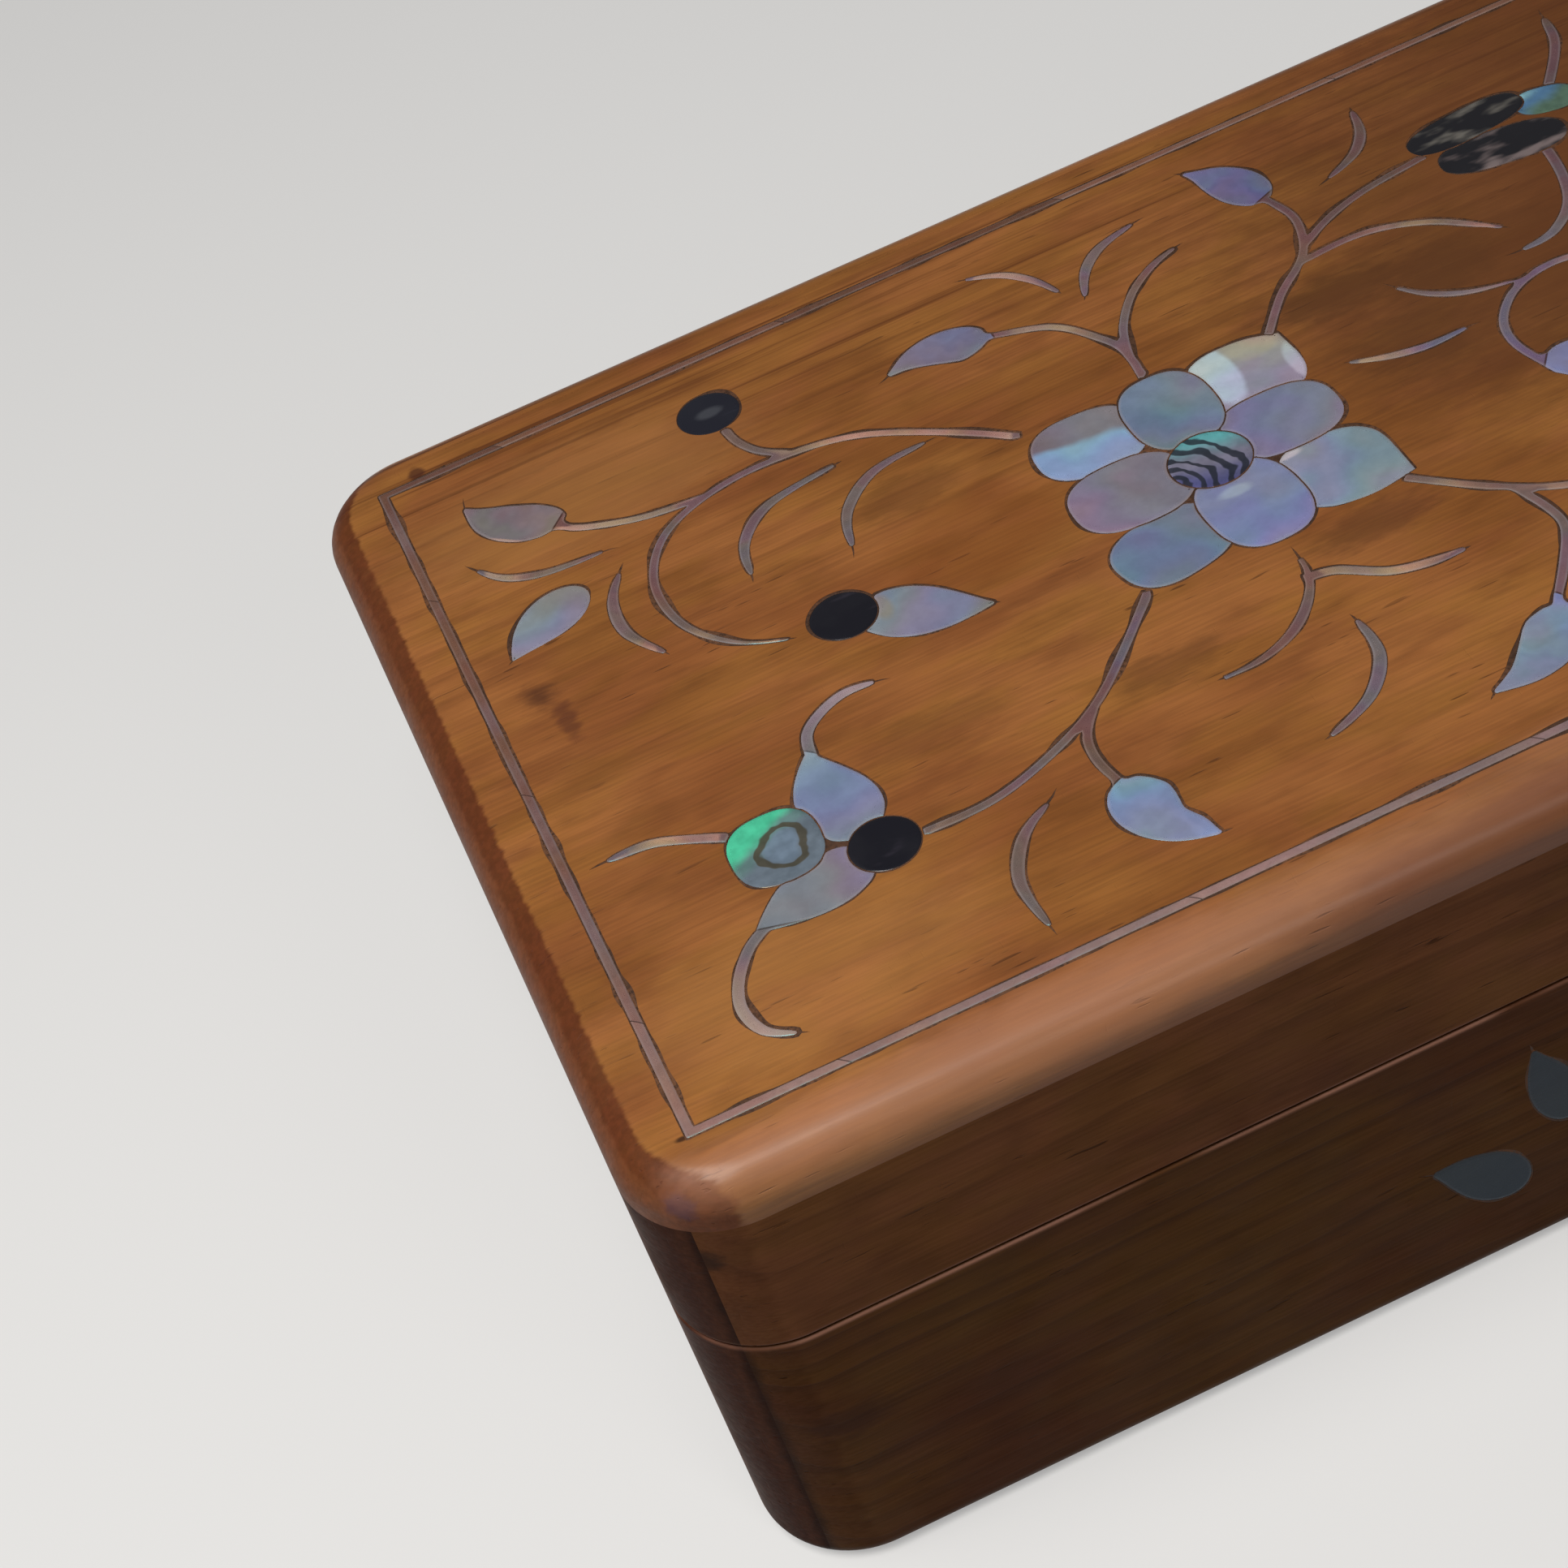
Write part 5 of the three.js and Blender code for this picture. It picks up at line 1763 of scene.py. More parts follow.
@dataclass
class Inlay:
    """Shell and horn let into a face.

    Args:
        plane, body: The face, and the body that it rides on.
        effects: The shared effects.
        thickness: How thick the pieces are.
        crown: How far their edges are rubbed down.
        arris, rim: How wide the steep part and the whole of the rubbed edge are.
        slimmer, fuller: How far a stem's edges are drawn in, and how far other edges are let out.
        clearance, widening: How much wider a pocket is than its piece, and how much wider still in places.
        slack: How far a piece may lie off its pocket's middle.
        sunk: How far below the face the filler lies.
        seed: The number that the slack and the overcuts come from.
    """

    plane: InlayPlane
    body: str
    effects: Effects
    thickness: float = 1.2 * MM
    crown: float = 0.09 * MM
    arris: float = 0.12 * MM
    rim: float = 0.5 * MM
    slimmer: float = 0.14 * MM
    fuller: float = 0.05 * MM
    clearance: float = 0.2 * MM
    widening: float = 0.4 * MM
    slack: float = 0.16 * MM
    sunk: float = 0.06 * MM
    seed: int = 11

    def outlines(self, node: str) -> list[Loop]:
        """Returns the smooth outlines of a piece."""
        loops = boundary_loops(node, self.plane)
        if node in TIPS:
            points = loops[0] + [Vector(tip) * MM for tip in TIPS[node]]
            loops = [[points[i] for i in convex_hull_2d(points)]]
            loops = [loop if area(loop) > 0 else loop[::-1] for loop in loops]
        loops = [smoothed(loop) for loop in loops]
        for hollow in HOLLOWS.get(node, ()):
            loops = [smoothed(hollow.cut(loop)[::3]) for loop in loops]
        slimmer = self.slimmer * (1.0 if finish_of(node) in (STEM_SHELL, LINE_SHELL) else 0.15)
        loops = [blunted(loop) for loop in slimmed(loops, slimmer, self.fuller)]
        return [loop for loop in outlines_of(loops) if abs(area(loop)) > MM * MM]

    def parted(self, shapes: dict[str, list[Loop]], node: str) -> list[Loop]:
        """Returns a piece's outlines, cut back so that they clear its neighbours."""
        others = [loop for name, loops in shapes.items() if name != node for loop in loops]
        cuts = [offset(loop, self.clearance / 2)[::-1] for loop in others]
        return [loop for loop in outlines_of([*shapes[node], *cuts]) if area(loop) > MM * MM]

    def overcuts(self, loop: Loop, chance: random.Random) -> list[Loop]:
        """Finds where the saw ran past the points of a piece.

        Args:
            loop: The piece's outline.
            chance: The source of each cut's length and bend.

        Returns:
            Thin outlines that start at the points.
        """
        cuts = []
        for i, here in enumerate(loop):
            far, before, after, next_far = (loop[(i + step) % len(loop)] for step in (-2, -1, 1, 2))
            turns = [turning(far, before, here), turning(before, here, after), turning(here, after, next_far)]
            if sum(turns) < SHARP or min(turns) < 0.35 or (after - before).length > MM:
                continue
            along = (here - (before + after) / 2).normalized()
            side = Vector((-along.y, along.x))
            length = chance.uniform(0.5, 2.6) * MM
            bend = side * chance.uniform(-0.2, 0.2) * length
            half = side * chance.uniform(0.12, 0.24) * MM
            root, middle = here - along * 0.3 * MM, here + along * length * 0.5 + bend * 0.3
            tip = here + along * length + bend
            cuts.append([root - half, middle - half * 0.7, tip, middle + half * 0.7, root + half])
        return cuts

    def pockets(self, shapes: Sequence[list[Loop]], fills: Sequence[Colour] = ()) -> list[Loop]:
        """Finds the pockets that pieces need, joined where they meet.

        Args:
            shapes: The outlines of each piece.
            fills: The middles and the radii, in mm, of places where no wood is left between pieces.

        Returns:
            The pockets' outlines.
        """
        chance = random.Random(self.seed)
        rooms = [
            [(Vector((x, y)) + Vector((math.cos(turn), math.sin(turn))) * radius) * MM for turn in TURNS]
            for x, y, radius in fills
        ]
        for loops in shapes:
            shift = Vector((chance.uniform(-1, 1), chance.uniform(-1, 1))) * self.slack
            loose = min(1.0, max(widths(loops[:1], 6 * MM)[0]) / (5 * MM))
            for loop in loops:
                far = [(self.clearance + self.wear(point)) * (0.35 + 0.65 * loose) for point in loop]
                rooms.append([point + shift * loose for point in offset(loop, far)])
                rooms += self.overcuts(loop, chance)
        return outlines_of(rooms)

    def wear(self, point: Vector) -> float:
        """Returns how much wider a pocket is at a point."""
        return self.widening * max(0.0, noise.noise((point / MM).to_3d() * 0.18) * 1.5 + 0.15)

    def piece(self, name: str, loops: Sequence[Loop]) -> Object:
        """Returns a shell piece with its upper edge rubbed down."""
        levels = [(self.thickness, 0.0), (self.crown, 0.0), (self.crown * 0.3, self.arris), (0.0, self.rim)]
        return weighted(name, prism(name, loops, self.plane, levels))

    def seam(self, pockets: Sequence[Loop], shapes: Sequence[Sequence[Loop]]) -> Object:
        """Builds the filler between the pockets and their pieces.

        Args:
            pockets: The pockets' outlines.
            shapes: The outlines of each piece.

        Returns:
            The filler, as one piece.
        """
        pieces = [loop for loops in shapes for loop in loops]
        gaps = outlines_of([*pockets, *(loop[::-1] for loop in pieces)])
        bed = bmesh.new()
        bed.from_mesh(prism("bed", gaps, self.plane, [(self.thickness, 0.0), (self.sunk, 0.0)]))
        bed.from_mesh(Bead().lay("crumbs", pieces, self.plane, 4.0))
        mesh = bpy.data.meshes.new(f"{self.body}_filler")
        bed.to_mesh(mesh)
        bed.free()
        return new_object(mesh.name, mesh)


class Studio:
    """The floor, the lamps and the camera."""

    floor_size = 8.0
    sensor = 36.0
    lens = 4148.49 / 1932 * sensor
    position = Vector((1.418 - 105.0, -238.953 - 75.0, 348.409)) * MM
    yaw, pitch, roll = 0.123957, 0.748576, 0.343175
    aim = Vector((0.0, 0.0, 0.04))

    def camera(self) -> None:
        """Sets the camera at the photograph's place and angle."""
        level = Vector((math.cos(self.yaw), -math.sin(self.yaw), 0.0))
        ahead = Vector((-level.y, level.x, 0.0)) * math.cos(self.pitch)
        ahead.z = -math.sin(self.pitch)
        down = ahead.cross(level)
        right = level * math.cos(self.roll) + down * math.sin(self.roll)
        lower = down * math.cos(self.roll) - level * math.sin(self.roll)
        data = bpy.data.cameras.new("camera")
        data.lens = self.lens
        data.sensor_width = self.sensor
        data.clip_start = 0.01
        camera = bpy.data.objects.new("camera", data)
        turned = Matrix((right, -lower, -ahead)).transposed().to_4x4()
        camera.matrix_world = Matrix.Translation(self.position) @ turned
        bpy.context.scene.collection.objects.link(camera)
        bpy.context.scene.camera = camera

    def lamp(self, name: str, place: tuple, size: float, power: float, colour: Colour) -> None:
        """Hangs a soft square lamp that shines at the box."""
        data = bpy.data.lights.new(name, "AREA")
        data.size = size
        data.energy = power
        data.color = colour
        lamp = bpy.data.objects.new(name, data)
        lamp.location = place
        lamp.rotation_euler = (self.aim - Vector(place)).to_track_quat("-Z", "Y").to_euler()
        bpy.context.scene.collection.objects.link(lamp)

    def floor(self) -> None:
        """Lays a plain pale floor, which hardly lights the box from below."""
        half = self.floor_size / 2
        corners = [(-half, -half, 0), (half, -half, 0), (half, half, 0), (-half, half, 0)]
        floor = new_object("floor", new_mesh("floor", corners, [(0, 1, 2, 3)]))
        material, g, shader = new_material("floor_paper", (0.75, 0.74, 0.73))
        light = g.node("ShaderNodeLightPath")
        seen = g.math("MAXIMUM", light["Is Camera Ray"], light["Is Glossy Ray"])
        seen = g.math("MAXIMUM", seen, light["Is Transmission Ray"])
        g.fill(shader, {
            "Base Color": g.mix(seen, (0.13, 0.125, 0.12), (0.42, 0.418, 0.415)),
            "Emission Color": g.mix(seen, (0.0, 0.0, 0.0), (0.36, 0.358, 0.355)),
            "Emission Strength": 1.0, "Roughness": 0.9, "Specular IOR Level": 0.1,
        })
        floor.data.materials.append(material)

    def world(self) -> None:
        """Sets a pale room that gives a little even light."""
        world = bpy.data.worlds.new("room")
        bpy.context.scene.world = world
        world.use_nodes = True
        g = Graph(world.node_tree)
        world.node_tree.nodes.clear()
        light = g.node("ShaderNodeLightPath")
        strength = g.node("ShaderNodeMix", {0: light["Is Camera Ray"], 2: 0.1, 3: 0.8}, data_type="FLOAT")[0]
        back = g.node("ShaderNodeBackground", {"Color": (1.0, 0.98, 0.96), "Strength": strength})
        g.node("ShaderNodeOutputWorld", {"Surface": back[0]})

    def build(self) -> None:
        """Sets the whole stage."""
        bpy.context.scene.view_settings.view_transform = "Standard"
        self.camera()
        self.floor()
        self.world()
        self.lamp("key", (-0.27, -0.17, 0.66), 0.42, 4.9, (1.0, 0.98, 0.95))
        self.lamp("fill", (0.2, -0.85, 0.7), 0.28, 0.75, (1.0, 0.95, 0.92))


# The box's own finishes

CASE_SIZES = CaseSizes()
INSIDE = (96.2, 66.2)
"""How far the bare wood of the inside reaches from the middle, in mm."""
TURNS = [math.tau * step / 24 for step in range(24)]
"""The directions of the points of a round."""
FILLS = ((0.7, 1.3, 9.4), (-66.2, -33.0, 2.6), (62.4, 37.1, 2.0))
"""The middles and radii of the places where no wood is left between pieces, in mm."""
TIPS = {
    "flower_petal_rear_right": ((19.0, 18.5), (18.1, 9.0)),
    "flower_petal_front_right": ((20.4, -16.2),),
}
HOLLOWS = {
    "vine_front_left": (Hollow((-32.2, -43.3), (-25.6, -58.2), 1.3),),
    "vine_rear": (Hollow((-11.8, 44.3), (-27.3, 44.9), 1.1),),
    "vine_rear_left": (Hollow((-74.2, 45.9), (-86.2, 57.2), -0.8),),
    "vine_front_right": (Hollow((23.9, -47.2), (9.3, -56.0), -1.0),),
}
TOP_STAINS_AND_PAINTED_LIGHT = (
    Mark((-89.8, 67, 74), (1.3, 1.7, 3), (0.05, 0.012, 0.008), 0.75),
    Mark((-88.5, 12.5, 74), (2.9, 3.4, 3), (0.06, 0.02, 0.01), 0.75, 1.8, 1.1),
    Mark((-86.6, 6.5, 74), (1.6, 5.2, 3), (0.08, 0.022, 0.012), 0.6, 1.9, 0.9),
    Mark((-96.2, -65.7, 74), (1.2, 0.45, 3), (0.02, 0.006, 0.004), 0.85),
    Mark((-100, -72, 71), (2.6, 2.2, 2.2), (0.05, 0.025, 0.05), 0.7),
    Mark((-100.9, -71.2, 61.8), (4, 4.5, 2.4), (0.018, 0.008, 0.006), 0.75),
    Mark((28, 21, 74), (11, 5, 3), (0.055, 0.026, 0.008), 0.55),
    Mark((42, 17, 74), (9, 6, 3), (0.06, 0.028, 0.009), 0.5),
    Mark((-34.5, 19.6, 74), (8, 4.5, 3), (0.12, 0.046, 0.01), 0.5),
    Mark((-48, -23, 74), (12, 4, 3), (0.09, 0.03, 0.01), 0.25),
    # Painted light: a paler pool towards the front left.
    Mark((-76, -52, 74), (26, 14, 4), (0.42, 0.19, 0.065), 0.22, 0.5),
    # Painted light: a paler pool towards the rear left.
    Mark((-72, 48, 74), (30, 14, 4), (0.36, 0.16, 0.05), 0.4, 0.5),
    Mark((-30, 6, 74), (15, 11, 4), (0.2, 0.058, 0.012), 0.4, 0.6),
    Mark((12, -22, 74), (10, 4, 3), (0.08, 0.028, 0.01), 0.45),
    Mark((34, 6, 74), (11, 7, 3), (0.07, 0.028, 0.01), 0.4),
    Mark((-20, -30, 74), (9, 3.5, 3), (0.09, 0.034, 0.011), 0.4),
    # Painted shade: the right end darker, where the light falls off.
    Mark((85, 25, 74), (75, 60, 30), (0.1, 0.033, 0.011), 0.65, 0.5),
    # Painted highlight: a pale sheen along the front round-over, on the left.
    Mark((-50, -74, 74), (80, 8, 6), (0.42, 0.2, 0.12), 0.45, 0.3),
    # Painted highlight: a dimmer sheen along the front round-over, on the right.
    Mark((50, -68, 74), (60, 6, 4), (0.25, 0.12, 0.08), 0.4, 0.3),
    # Painted shade: the front round-over darker in the middle.
    Mark((8, -75, 71), (38, 6.5, 7), (0.13, 0.045, 0.024), 0.6, 0.3),
    # Painted shade along the lower part of the front round-over.
    Mark((-20, -75, 65), (160, 3, 3.4), (0.13, 0.042, 0.016), 0.7, 0.3),
    Mark((48, 8, 74), (30, 22, 5), (0.1, 0.035, 0.011), 0.45, 0.6),
)
LID_WOOD = WoodFinish(
    name="lid_wood", light=(0.3, 0.118, 0.03), warm=(0.215, 0.075, 0.019), dark=(0.12, 0.038, 0.01),
    end=(0.095, 0.023, 0.009), pith=(0, -35, 15), spacing=3.6, drift=9, figure=0.3, seed=2,
    gloss=0.45, marks=TOP_STAINS_AND_PAINTED_LIGHT, lines=38,
)
# Darker than the lid's top: a darker board, and painted shade on the lid's front and rear faces.
RAIL_WOOD_DARK_AND_SHADED = WoodFinish(
    name="rail_wood", light=(0.165, 0.064, 0.022), warm=(0.105, 0.038, 0.014), dark=(0.055, 0.018, 0.006),
    end=(0.055, 0.019, 0.008), pith=(0, -30, 30), spacing=3.2, drift=7, figure=0.5, seed=2,
    gloss=0.03, sheen=0.04, cut=0.3, marks=TOP_STAINS_AND_PAINTED_LIGHT[4:6],
)
# Much darker than the lid's top: a darker board, and painted shade on the front face.
FRONT_WOOD_DARK_AND_SHADED = WoodFinish(
    name="front_wood", light=(0.1, 0.04, 0.009), warm=(0.075, 0.024, 0.007), dark=(0.04, 0.013, 0.004),
    end=(0.038, 0.012, 0.005), pith=(0, -20, -40), spacing=3, drift=8, figure=0.55, seed=7,
    gloss=0.03, marks=(Mark((-91.4, -75, 27.6), (6.5, 3, 3.2), (0.03, 0.01, 0.008), 0.45),),
    band=99.8, sheen=0.04, cut=0.3,
)
REAR_WOOD = WoodFinish(
    name="rear_wood", light=(0.19, 0.075, 0.021), warm=(0.13, 0.046, 0.015), dark=(0.07, 0.025, 0.009),
    end=(0.08, 0.026, 0.01), pith=(0, 30, -30), spacing=3.3, drift=7, figure=0.5, seed=11, band=99.8,
)
# Darker still: a darker board, and painted shade on the ends of the box and of the lid.
SIDE_WOOD_DARK_AND_SHADED = WoodFinish(
    name="side_wood", light=(0.085, 0.026, 0.008), warm=(0.06, 0.016, 0.006), dark=(0.032, 0.009, 0.004),
    end=(0.04, 0.011, 0.005), along_x=False, pith=(0, -60, -20), spacing=3, drift=7, figure=0.5, seed=14,
    gloss=0.02, band=99.8, sheen=0.02,
)
BOTTOM_WOOD = WoodFinish(
    name="bottom_wood", light=(0.16, 0.07, 0.026), warm=(0.11, 0.045, 0.018), dark=(0.06, 0.024, 0.01),
    end=(0.07, 0.026, 0.012), pith=(0, 10, -60), spacing=3.8, drift=8, figure=0.45, seed=17, gloss=0,
)
WOODS = (LID_WOOD, RAIL_WOOD_DARK_AND_SHADED, FRONT_WOOD_DARK_AND_SHADED, REAR_WOOD, SIDE_WOOD_DARK_AND_SHADED, BOTTOM_WOOD)
STEM_PATCHES = (
    Patch((-74.2, 45.9), (-86.2, 57.2), (0.19, 0.17, 0.16), (0.19, 0.155, 0.15)),
    Patch((-11.8, 44.3), (-27.3, 44.9), (0.15, 0.18, 0.27), (0.2, 0.2, 0.25)),
    Patch((31.2, 46.5), (24.9, 60.5), (0.12, 0.14, 0.29), (0.17, 0.165, 0.27)),
    Patch((-32.2, -43.3), (-25.6, -58.2), (0.19, 0.3, 0.45), (0.21, 0.3, 0.46)),
    Patch((23.9, -47.2), (9.3, -56), (0.19, 0.25, 0.42), (0.22, 0.29, 0.36)),
    Patch((43.8, -7.3), (56.6, -16.9), (0.2, 0.26, 0.42), (0.22, 0.24, 0.36)),
    Patch((77.5, -41.6), (89.2, -53.4), (0.18, 0.22, 0.33), (0.24, 0.24, 0.3)),
)
STEM_GLOWS = (
    Mark((72, 52, 74), (66, 38, 9), (0.115, 0.06, 0.048), 0.7, 0.5),
    Mark((45, -4, 74), (22, 22, 9), (0.13, 0.12, 0.21), 0.6, 0.5),
    Mark((-18, -28, 74), (9, 13, 9), (0.12, 0.12, 0.2), 0.5, 0.5),
)
STEM_SHELL = ShellFinish(
    "stem_shell", (0.14, 0.078, 0.066), (0.18, 0.105, 0.098), (0.15, 0.108, 0.12), 35, 0, 30, 20, 0.6, 3,
    STEM_PATCHES, glows=STEM_GLOWS, gleam=0.85,
)
LINE_SHELL = ShellFinish(
    "line_shell", (0.21, 0.1, 0.065), (0.48, 0.3, 0.275), (0.24, 0.18, 0.2), -60, 15, 120, 25, 0.5, 4,
    strips=43, lustre=0.06, glows=(
        Mark((0, 66, 74), (190, 10, 9), (0.16, 0.075, 0.045), 0.8, 0.3),
        Mark((36, -66, 74), (66, 10, 9), (0.2, 0.15, 0.15), 0.55, 0.3),
    ),
)
CURL_SHELL = ShellFinish(
    "curl_shell", (0.14, 0.09, 0.085), (0.17, 0.125, 0.14), (0.15, 0.12, 0.14), 20, 0, 60, 30, 0.6, 6,
    glows=STEM_GLOWS, gleam=0.85,
)
SHELL = {
    "stringing": LINE_SHELL,
    "flower_petal_rear_left": ShellFinish(
        "petal_rear_left", (0.218, 0.33, 0.48), (0.182, 0.12, 0.14), (0.286, 0.359, 0.486),
        80, 0.4, 1.6, 3, 0.25, 11
    ),
    "flower_petal_rear": ShellFinish(
        "petal_rear", (0.133, 0.189, 0.25), (0.163, 0.2, 0.275), (0.207, 0.216, 0.324), 50, 1, 8, 6, 0.4, 12
    ),
    "flower_petal_rear_right": ShellFinish(
        "petal_rear_right", (0.26, 0.24, 0.3), (0.32, 0.27, 0.28), (0.31, 0.3, 0.31), 70, 0, 4, 5, 0.4, 13,
        # Painted highlights: pale streaks on the petal.
        glows=(
            Mark((8.6, 16, 74), (2.9, 7, 3), (0.48, 0.53, 0.62), 0.85, 0.15, 0.3),
            Mark((15.2, 19.6, 74), (4.2, 4, 3), (0.38, 0.32, 0.27), 0.8, 0.3, 0.4),
            Mark((19.2, 11.6, 74), (2, 4.6, 3), (0.46, 0.46, 0.5), 0.8, 0.2, 0.3),
        ),
    ),
    "flower_petal_left": ShellFinish(
        "petal_left", (0.206, 0.162, 0.209), (0.181, 0.156, 0.224), (0.232, 0.212, 0.27), 30, 0, 9, 5, 0.4, 14
    ),
    "flower_petal_right": ShellFinish(
        "petal_right", (0.175, 0.165, 0.262), (0.209, 0.178, 0.262), (0.186, 0.216, 0.305),
        -40, 0, 9, 5, 0.4, 15
    ),
    "flower_petal_front_left": ShellFinish(
        "petal_front_left", (0.133, 0.187, 0.263), (0.15, 0.161, 0.263), (0.163, 0.218, 0.286),
        60, 0, 8, 5, 0.35, 16
    ),
    "flower_petal_front": ShellFinish(
        "petal_front", (0.177, 0.206, 0.351), (0.198, 0.187, 0.336), (0.229, 0.238, 0.405),
        100, 0, 8, 6, 0.5, 17,
        # Painted highlight: a pale streak near the petal's inner end.
        glows=(Mark((0.6, -6.3, 74), (2.6, 1.2, 3), (0.36, 0.38, 0.5), 0.6, 0.4),),
    ),
    "flower_petal_front_right": ShellFinish(
        "petal_front_right", (0.208, 0.253, 0.331), (0.181, 0.225, 0.3), (0.284, 0.337, 0.412),
        -30, 0, 7, 4, 0.35, 18,
        # Painted highlight: a bright streak along the petal.
        glows=(Mark((8.4, -4.2, 74), (2.8, 0.9, 3), (0.5, 0.5, 0.55), 0.7, 0.4),),
    ),
    "blossom_left_rear_petal": ShellFinish(
        "blossom_rear_shell", (0.151, 0.184, 0.277), (0.277, 0.324, 0.436), (0.211, 0.249, 0.363),
        100, 1, 9, 4, 0.5, 21,
        (Patch((-62.3, -17.6), (-53, -9), (0.13, 0.1, 0.1), (0.34, 0.26, 0.2)),),
    ),
    "blossom_left_front_petal": ShellFinish(
        "blossom_front_shell", (0.135, 0.13, 0.156), (0.177, 0.166, 0.218), (0.208, 0.208, 0.26),
        10, 0, 9, 4, 0.5, 22,
        (Patch((-77.6, -41.5), (-83, -58), (0.14, 0.1, 0.11), (0.34, 0.27, 0.2)),),
    ),
    "leaf_left": ShellFinish(
        "leaf_left_shell", (0.2, 0.225, 0.3), (0.22, 0.185, 0.185), (0.235, 0.23, 0.25), 60, 2, 7, 5, 0.4, 23
    ),
    "bud_left": ShellFinish(
        "bud_left_shell", (0.185, 0.2, 0.27), (0.2, 0.19, 0.12), (0.229, 0.252, 0.332),
        -50, 6.5, 4, 4, 0.35, 24,
        glows=(Mark((-45.2, 1.4, 74), (1.6, 3, 3), (0.25, 0.19, 0.15), 0.7, 0.2),),
    ),
    # The front's shell, painted near black: painted shade, as it sits on the shaded front face.
    "spray_left_leaf": ShellFinish(
        "spray_shell", (0.012, 0.014, 0.015), (0.018, 0.018, 0.017), (0.022, 0.023, 0.022),
        90, 0, 12, 5, 0.4, 25,
        lustre=0.05, rim=0.06, gloss=0.12,
    ),
}
ABALONE = {
    "flower_disc": AbaloneFinish(
        "disc_abalone", (0.075, 0.075, 0.2), (0.18, 0.17, 0.24), (0.1, 0.34, 0.36), (0.35, 0.94, 0),
        (0.7, 1.3, 74),
        5, (-6.2, -1.4, 74), 2.3, 1.9, 5, 0.85, 31, (0.02, 0.02, 0.032),
    ),
    "blossom_left_abalone_petal": AbaloneFinish(
        "blossom_abalone", (0.12, 0.15, 0.19), (0.11, 0.19, 0.19), (0.07, 0.5, 0.3), (-0.45, 0.89, 0),
        (-72.2, -28.8, 74), 2.4, (-71, -30.6, 74), 3, 9, 1, 1, 32, (0.065, 0.055, 0.038), (0.14, 0.19, 0.26),
    ),
    "blossom_right_abalone_petal": AbaloneFinish(
        "blossom_right_abalone", (0.09, 0.15, 0.11), (0.08, 0.17, 0.3), (0.26, 0.5, 0.55), (-0.45, 0.89, 0),
        (72.5, 43.5, 74), 3, (70, 50, 74), 5, 20, 0, 1, 33,
    ),
}
PLAIN_HORN = HornFinish("horn", (0.007, 0.007, 0.012), (0.035, 0.03, 0.045), 0.2)
HORN = {
    "horn_disc_rear_left": HornFinish(
        "horn_glint", (0.012, 0.013, 0.022), (0.03, 0.032, 0.05), 0.2,
        # Painted highlight: a pale glint in the middle of the disc.
        (Mark((-50.5, 52.6, 74), (2.1, 1.3, 2), (0.07, 0.075, 0.09), 0.6, 0.4),), 2,
    ),
    "blossom_right_rear_petal": HornFinish(
        "horn_streaked", (0.012, 0.012, 0.016), (0.15, 0.14, 0.125), 0.5, seed=8
    ),
    "blossom_right_front_petal": HornFinish(
        "horn_streaked_front", (0.012, 0.012, 0.016), (0.19, 0.15, 0.15), 0.55, seed=9
    ),
}


def finish_of(node: str) -> ShellFinish | AbaloneFinish | HornFinish:
    """Returns the finish of an inlay piece."""
    own = {**SHELL, **ABALONE, **HORN}
    if node in own:
        return own[node]
    if node.startswith(("horn", "blossom_right")):
        return PLAIN_HORN
    if node.startswith("spray"):
        return SHELL["spray_left_leaf"]
    return STEM_SHELL if node.startswith(("vine", "sprig")) else CURL_SHELL


def slot_of(finish: object) -> Finish:
    """Returns which of the finishes an inlay finish counts as."""
    return {AbaloneFinish: Finish.ABALONE, HornFinish: Finish.HORN}.get(type(finish), Finish.PEARL)


def fit_inlay(
    inlay: Inlay, shapes: dict[str, list[Loop]], pockets: list[Loop], filler: Material, made: dict
) -> None:
    """Builds the pieces of one face and the filler round them.

    Args:
        inlay: The face's inlay.
        shapes: The outlines of each piece, by its CAD node.
        pockets: The outlines of the pockets.
        filler: The filler's material.
        made: The materials that are made already, by name.
    """
    for node, loops in shapes.items():
        finish = finish_of(node)
        if finish.name not in made:
            if isinstance(finish, ShellFinish):
                points = max(loops, key=area)
                middle = sum(points, Vector((0, 0))) / len(points)
                made[finish.name] = finish.build(inlay.effects, middle, inlay.plane)
            else:
                made[finish.name] = finish.build(inlay.effects)
        settle(inlay.piece(f"{node}_inlay", loops), inlay.body, slot_of(finish), made[finish.name], [node])
    settle(inlay.seam(pockets, list(shapes.values())), inlay.body, Finish.HORN, filler)


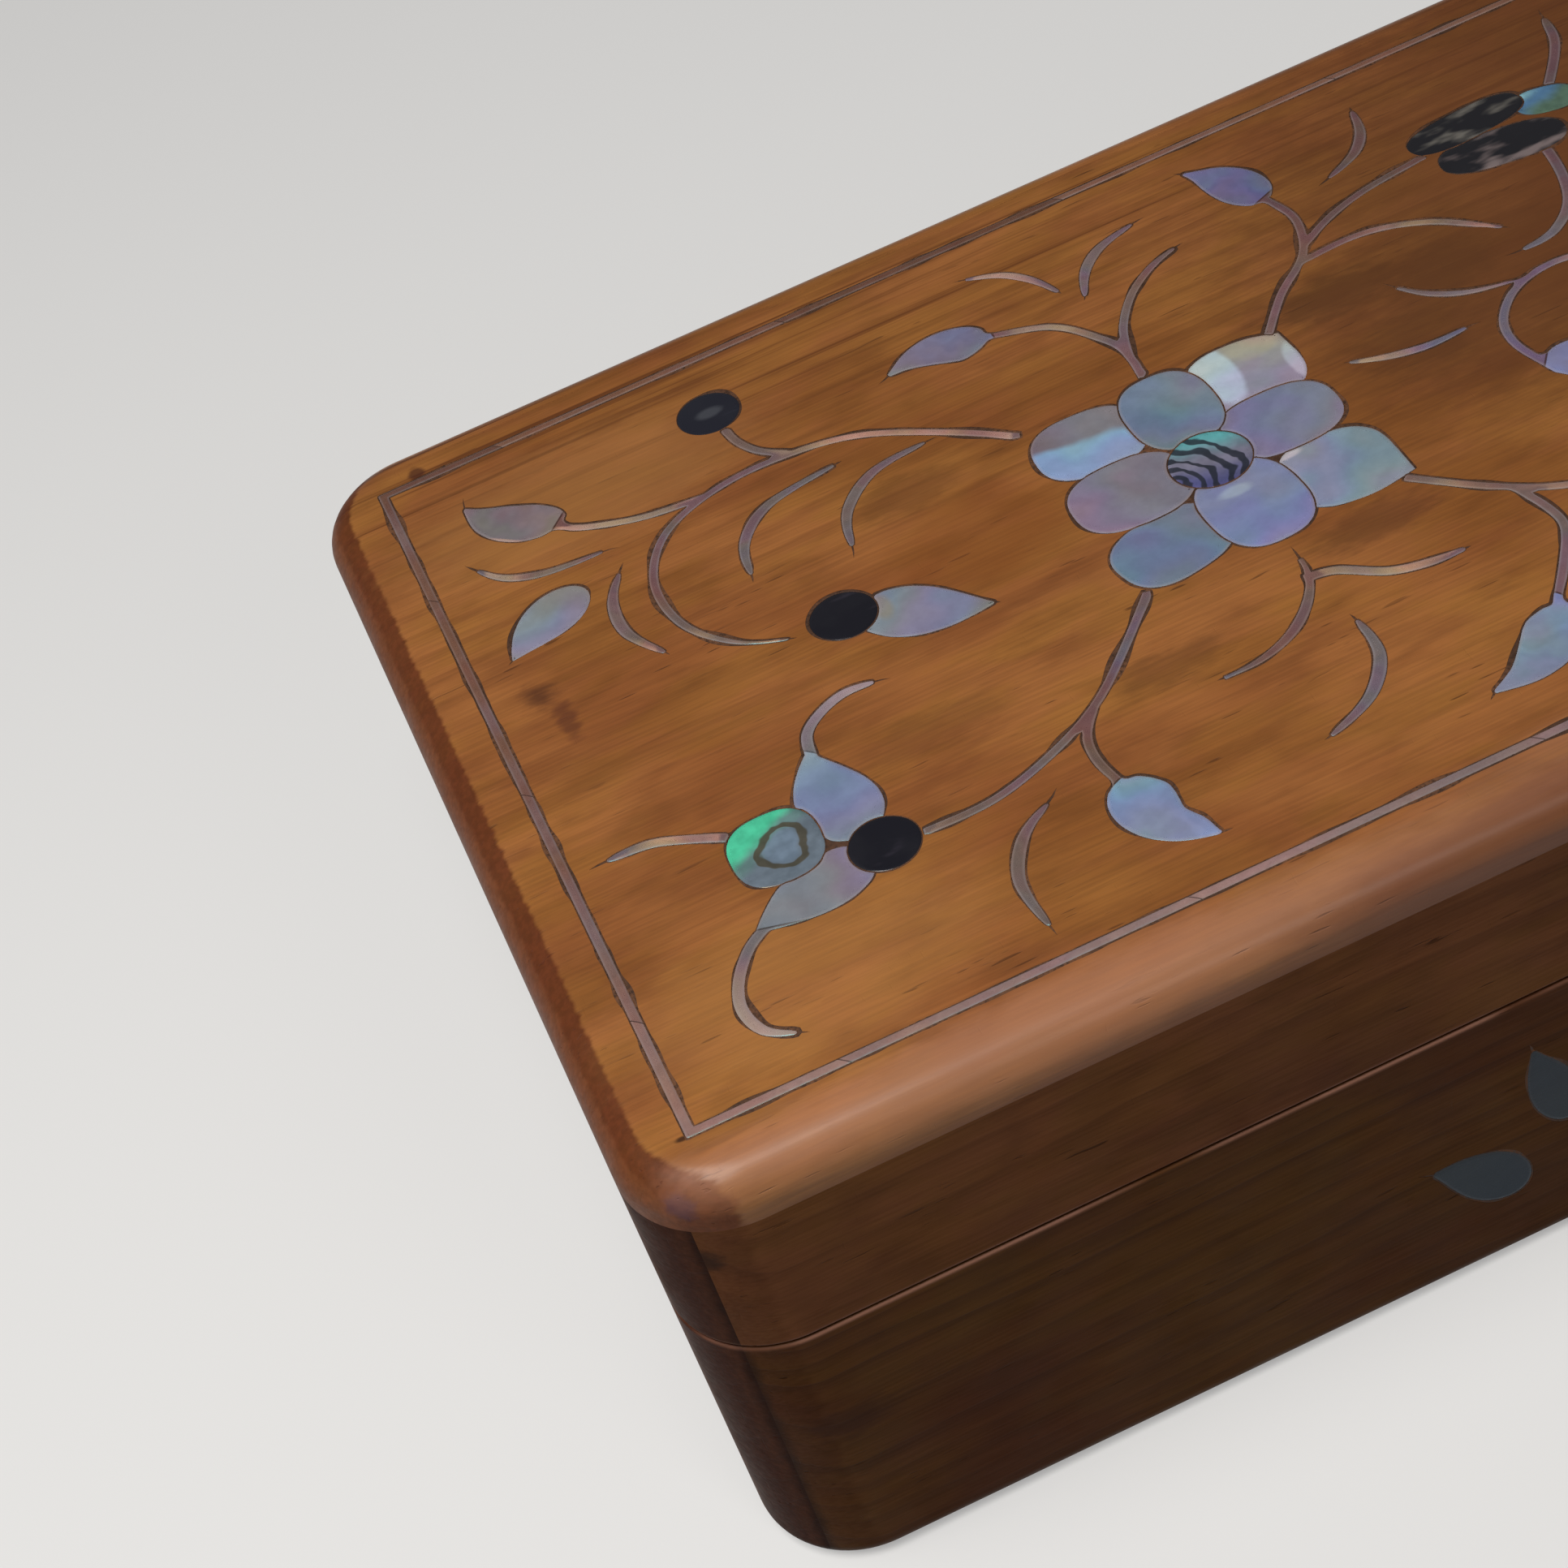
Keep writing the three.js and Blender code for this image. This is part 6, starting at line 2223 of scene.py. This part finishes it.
def main() -> None:
    """Builds the box piece by piece and reports each."""
    logging.basicConfig(level=logging.INFO, format="%(message)s")
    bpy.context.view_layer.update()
    for name in ("Cube", "Light", "Camera"):
        if name in bpy.data.objects:
            bpy.data.objects.remove(bpy.data.objects[name])
    effects = build_effects()
    case = Case(CASE_SIZES, effects)
    top = Inlay(TOP, "lid", effects)
    front = Inlay(FRONT, "box", effects)
    woods = {finish.name: finish.build(effects) for finish in WOODS}

    plain = ("box_", "lid_", "hinge_", "spray_")
    shapes = {name: top.outlines(name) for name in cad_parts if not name.startswith(plain)}
    shapes |= {name: top.parted(shapes, name) for name in TIPS}
    sprays = {name: front.outlines(name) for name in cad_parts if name.startswith("spray")}
    pockets, front_pockets = top.pockets(list(shapes.values()), FILLS), front.pockets(list(sprays.values()))
    pocket = prism("cutter_pocket", front_pockets, FRONT, [(front.thickness, 0.0), (-CASE_SIZES.overrun, 0.0)])
    for place, mesh in case.build_box([pocket]).items():
        slot = Finish.BOTTOM if place == "bottom" else Finish.WOOD
        wood = woods.get(f"{place}_wood", woods["side_wood"])
        settle(weighted(f"box_{place}", mesh), "box", slot, wood, [f"box_{place}_board"])
    for place, mesh in case.build_lid_rails().items():
        wood = woods["side_wood" if place in ("left", "right") else "rail_wood"]
        settle(weighted(f"lid_{place}", mesh), "lid", Finish.WOOD, wood, [f"lid_{place}_rail"])
    lid_top = weighted("lid_top", case.build_lid_top(pockets, top.thickness))
    settle(lid_top, "lid", Finish.WOOD, woods["lid_wood"], ["lid_top_board"])

    brass = BrassFinish("hinge_brass").build(effects)
    hinges = Hinges(CASE_SIZES)
    for name, x in (("hinge_left", -CASE_SIZES.hinge_place), ("hinge_right", CASE_SIZES.hinge_place)):
        for body, side, own in (("box", -1, (0, 2)), ("lid", 1, (1,))):
            leaf = weighted(f"{name}_{body}", hinges.leaf(x, side, own))
            settle(leaf, body, Finish.BRASS, brass, [f"{name}_{body}_leaf"])
        settle(weighted(f"{name}_pivot", hinges.pin_mesh(x)), "box", Finish.BRASS, brass, [f"{name}_pin"])
    settle(hinges.screws("box_screws", -1, 3), "box", Finish.BRASS, brass)
    settle(hinges.screws("lid_screws", 1, 8), "lid", Finish.BRASS, brass)

    filler = FillerFinish("filler").build()
    made: dict[str, Material] = {}
    fit_inlay(top, shapes, pockets, filler, made)
    fit_inlay(front, sprays, front_pockets, filler, made)
    Studio().build()


if __name__ == "__main__":
    main()
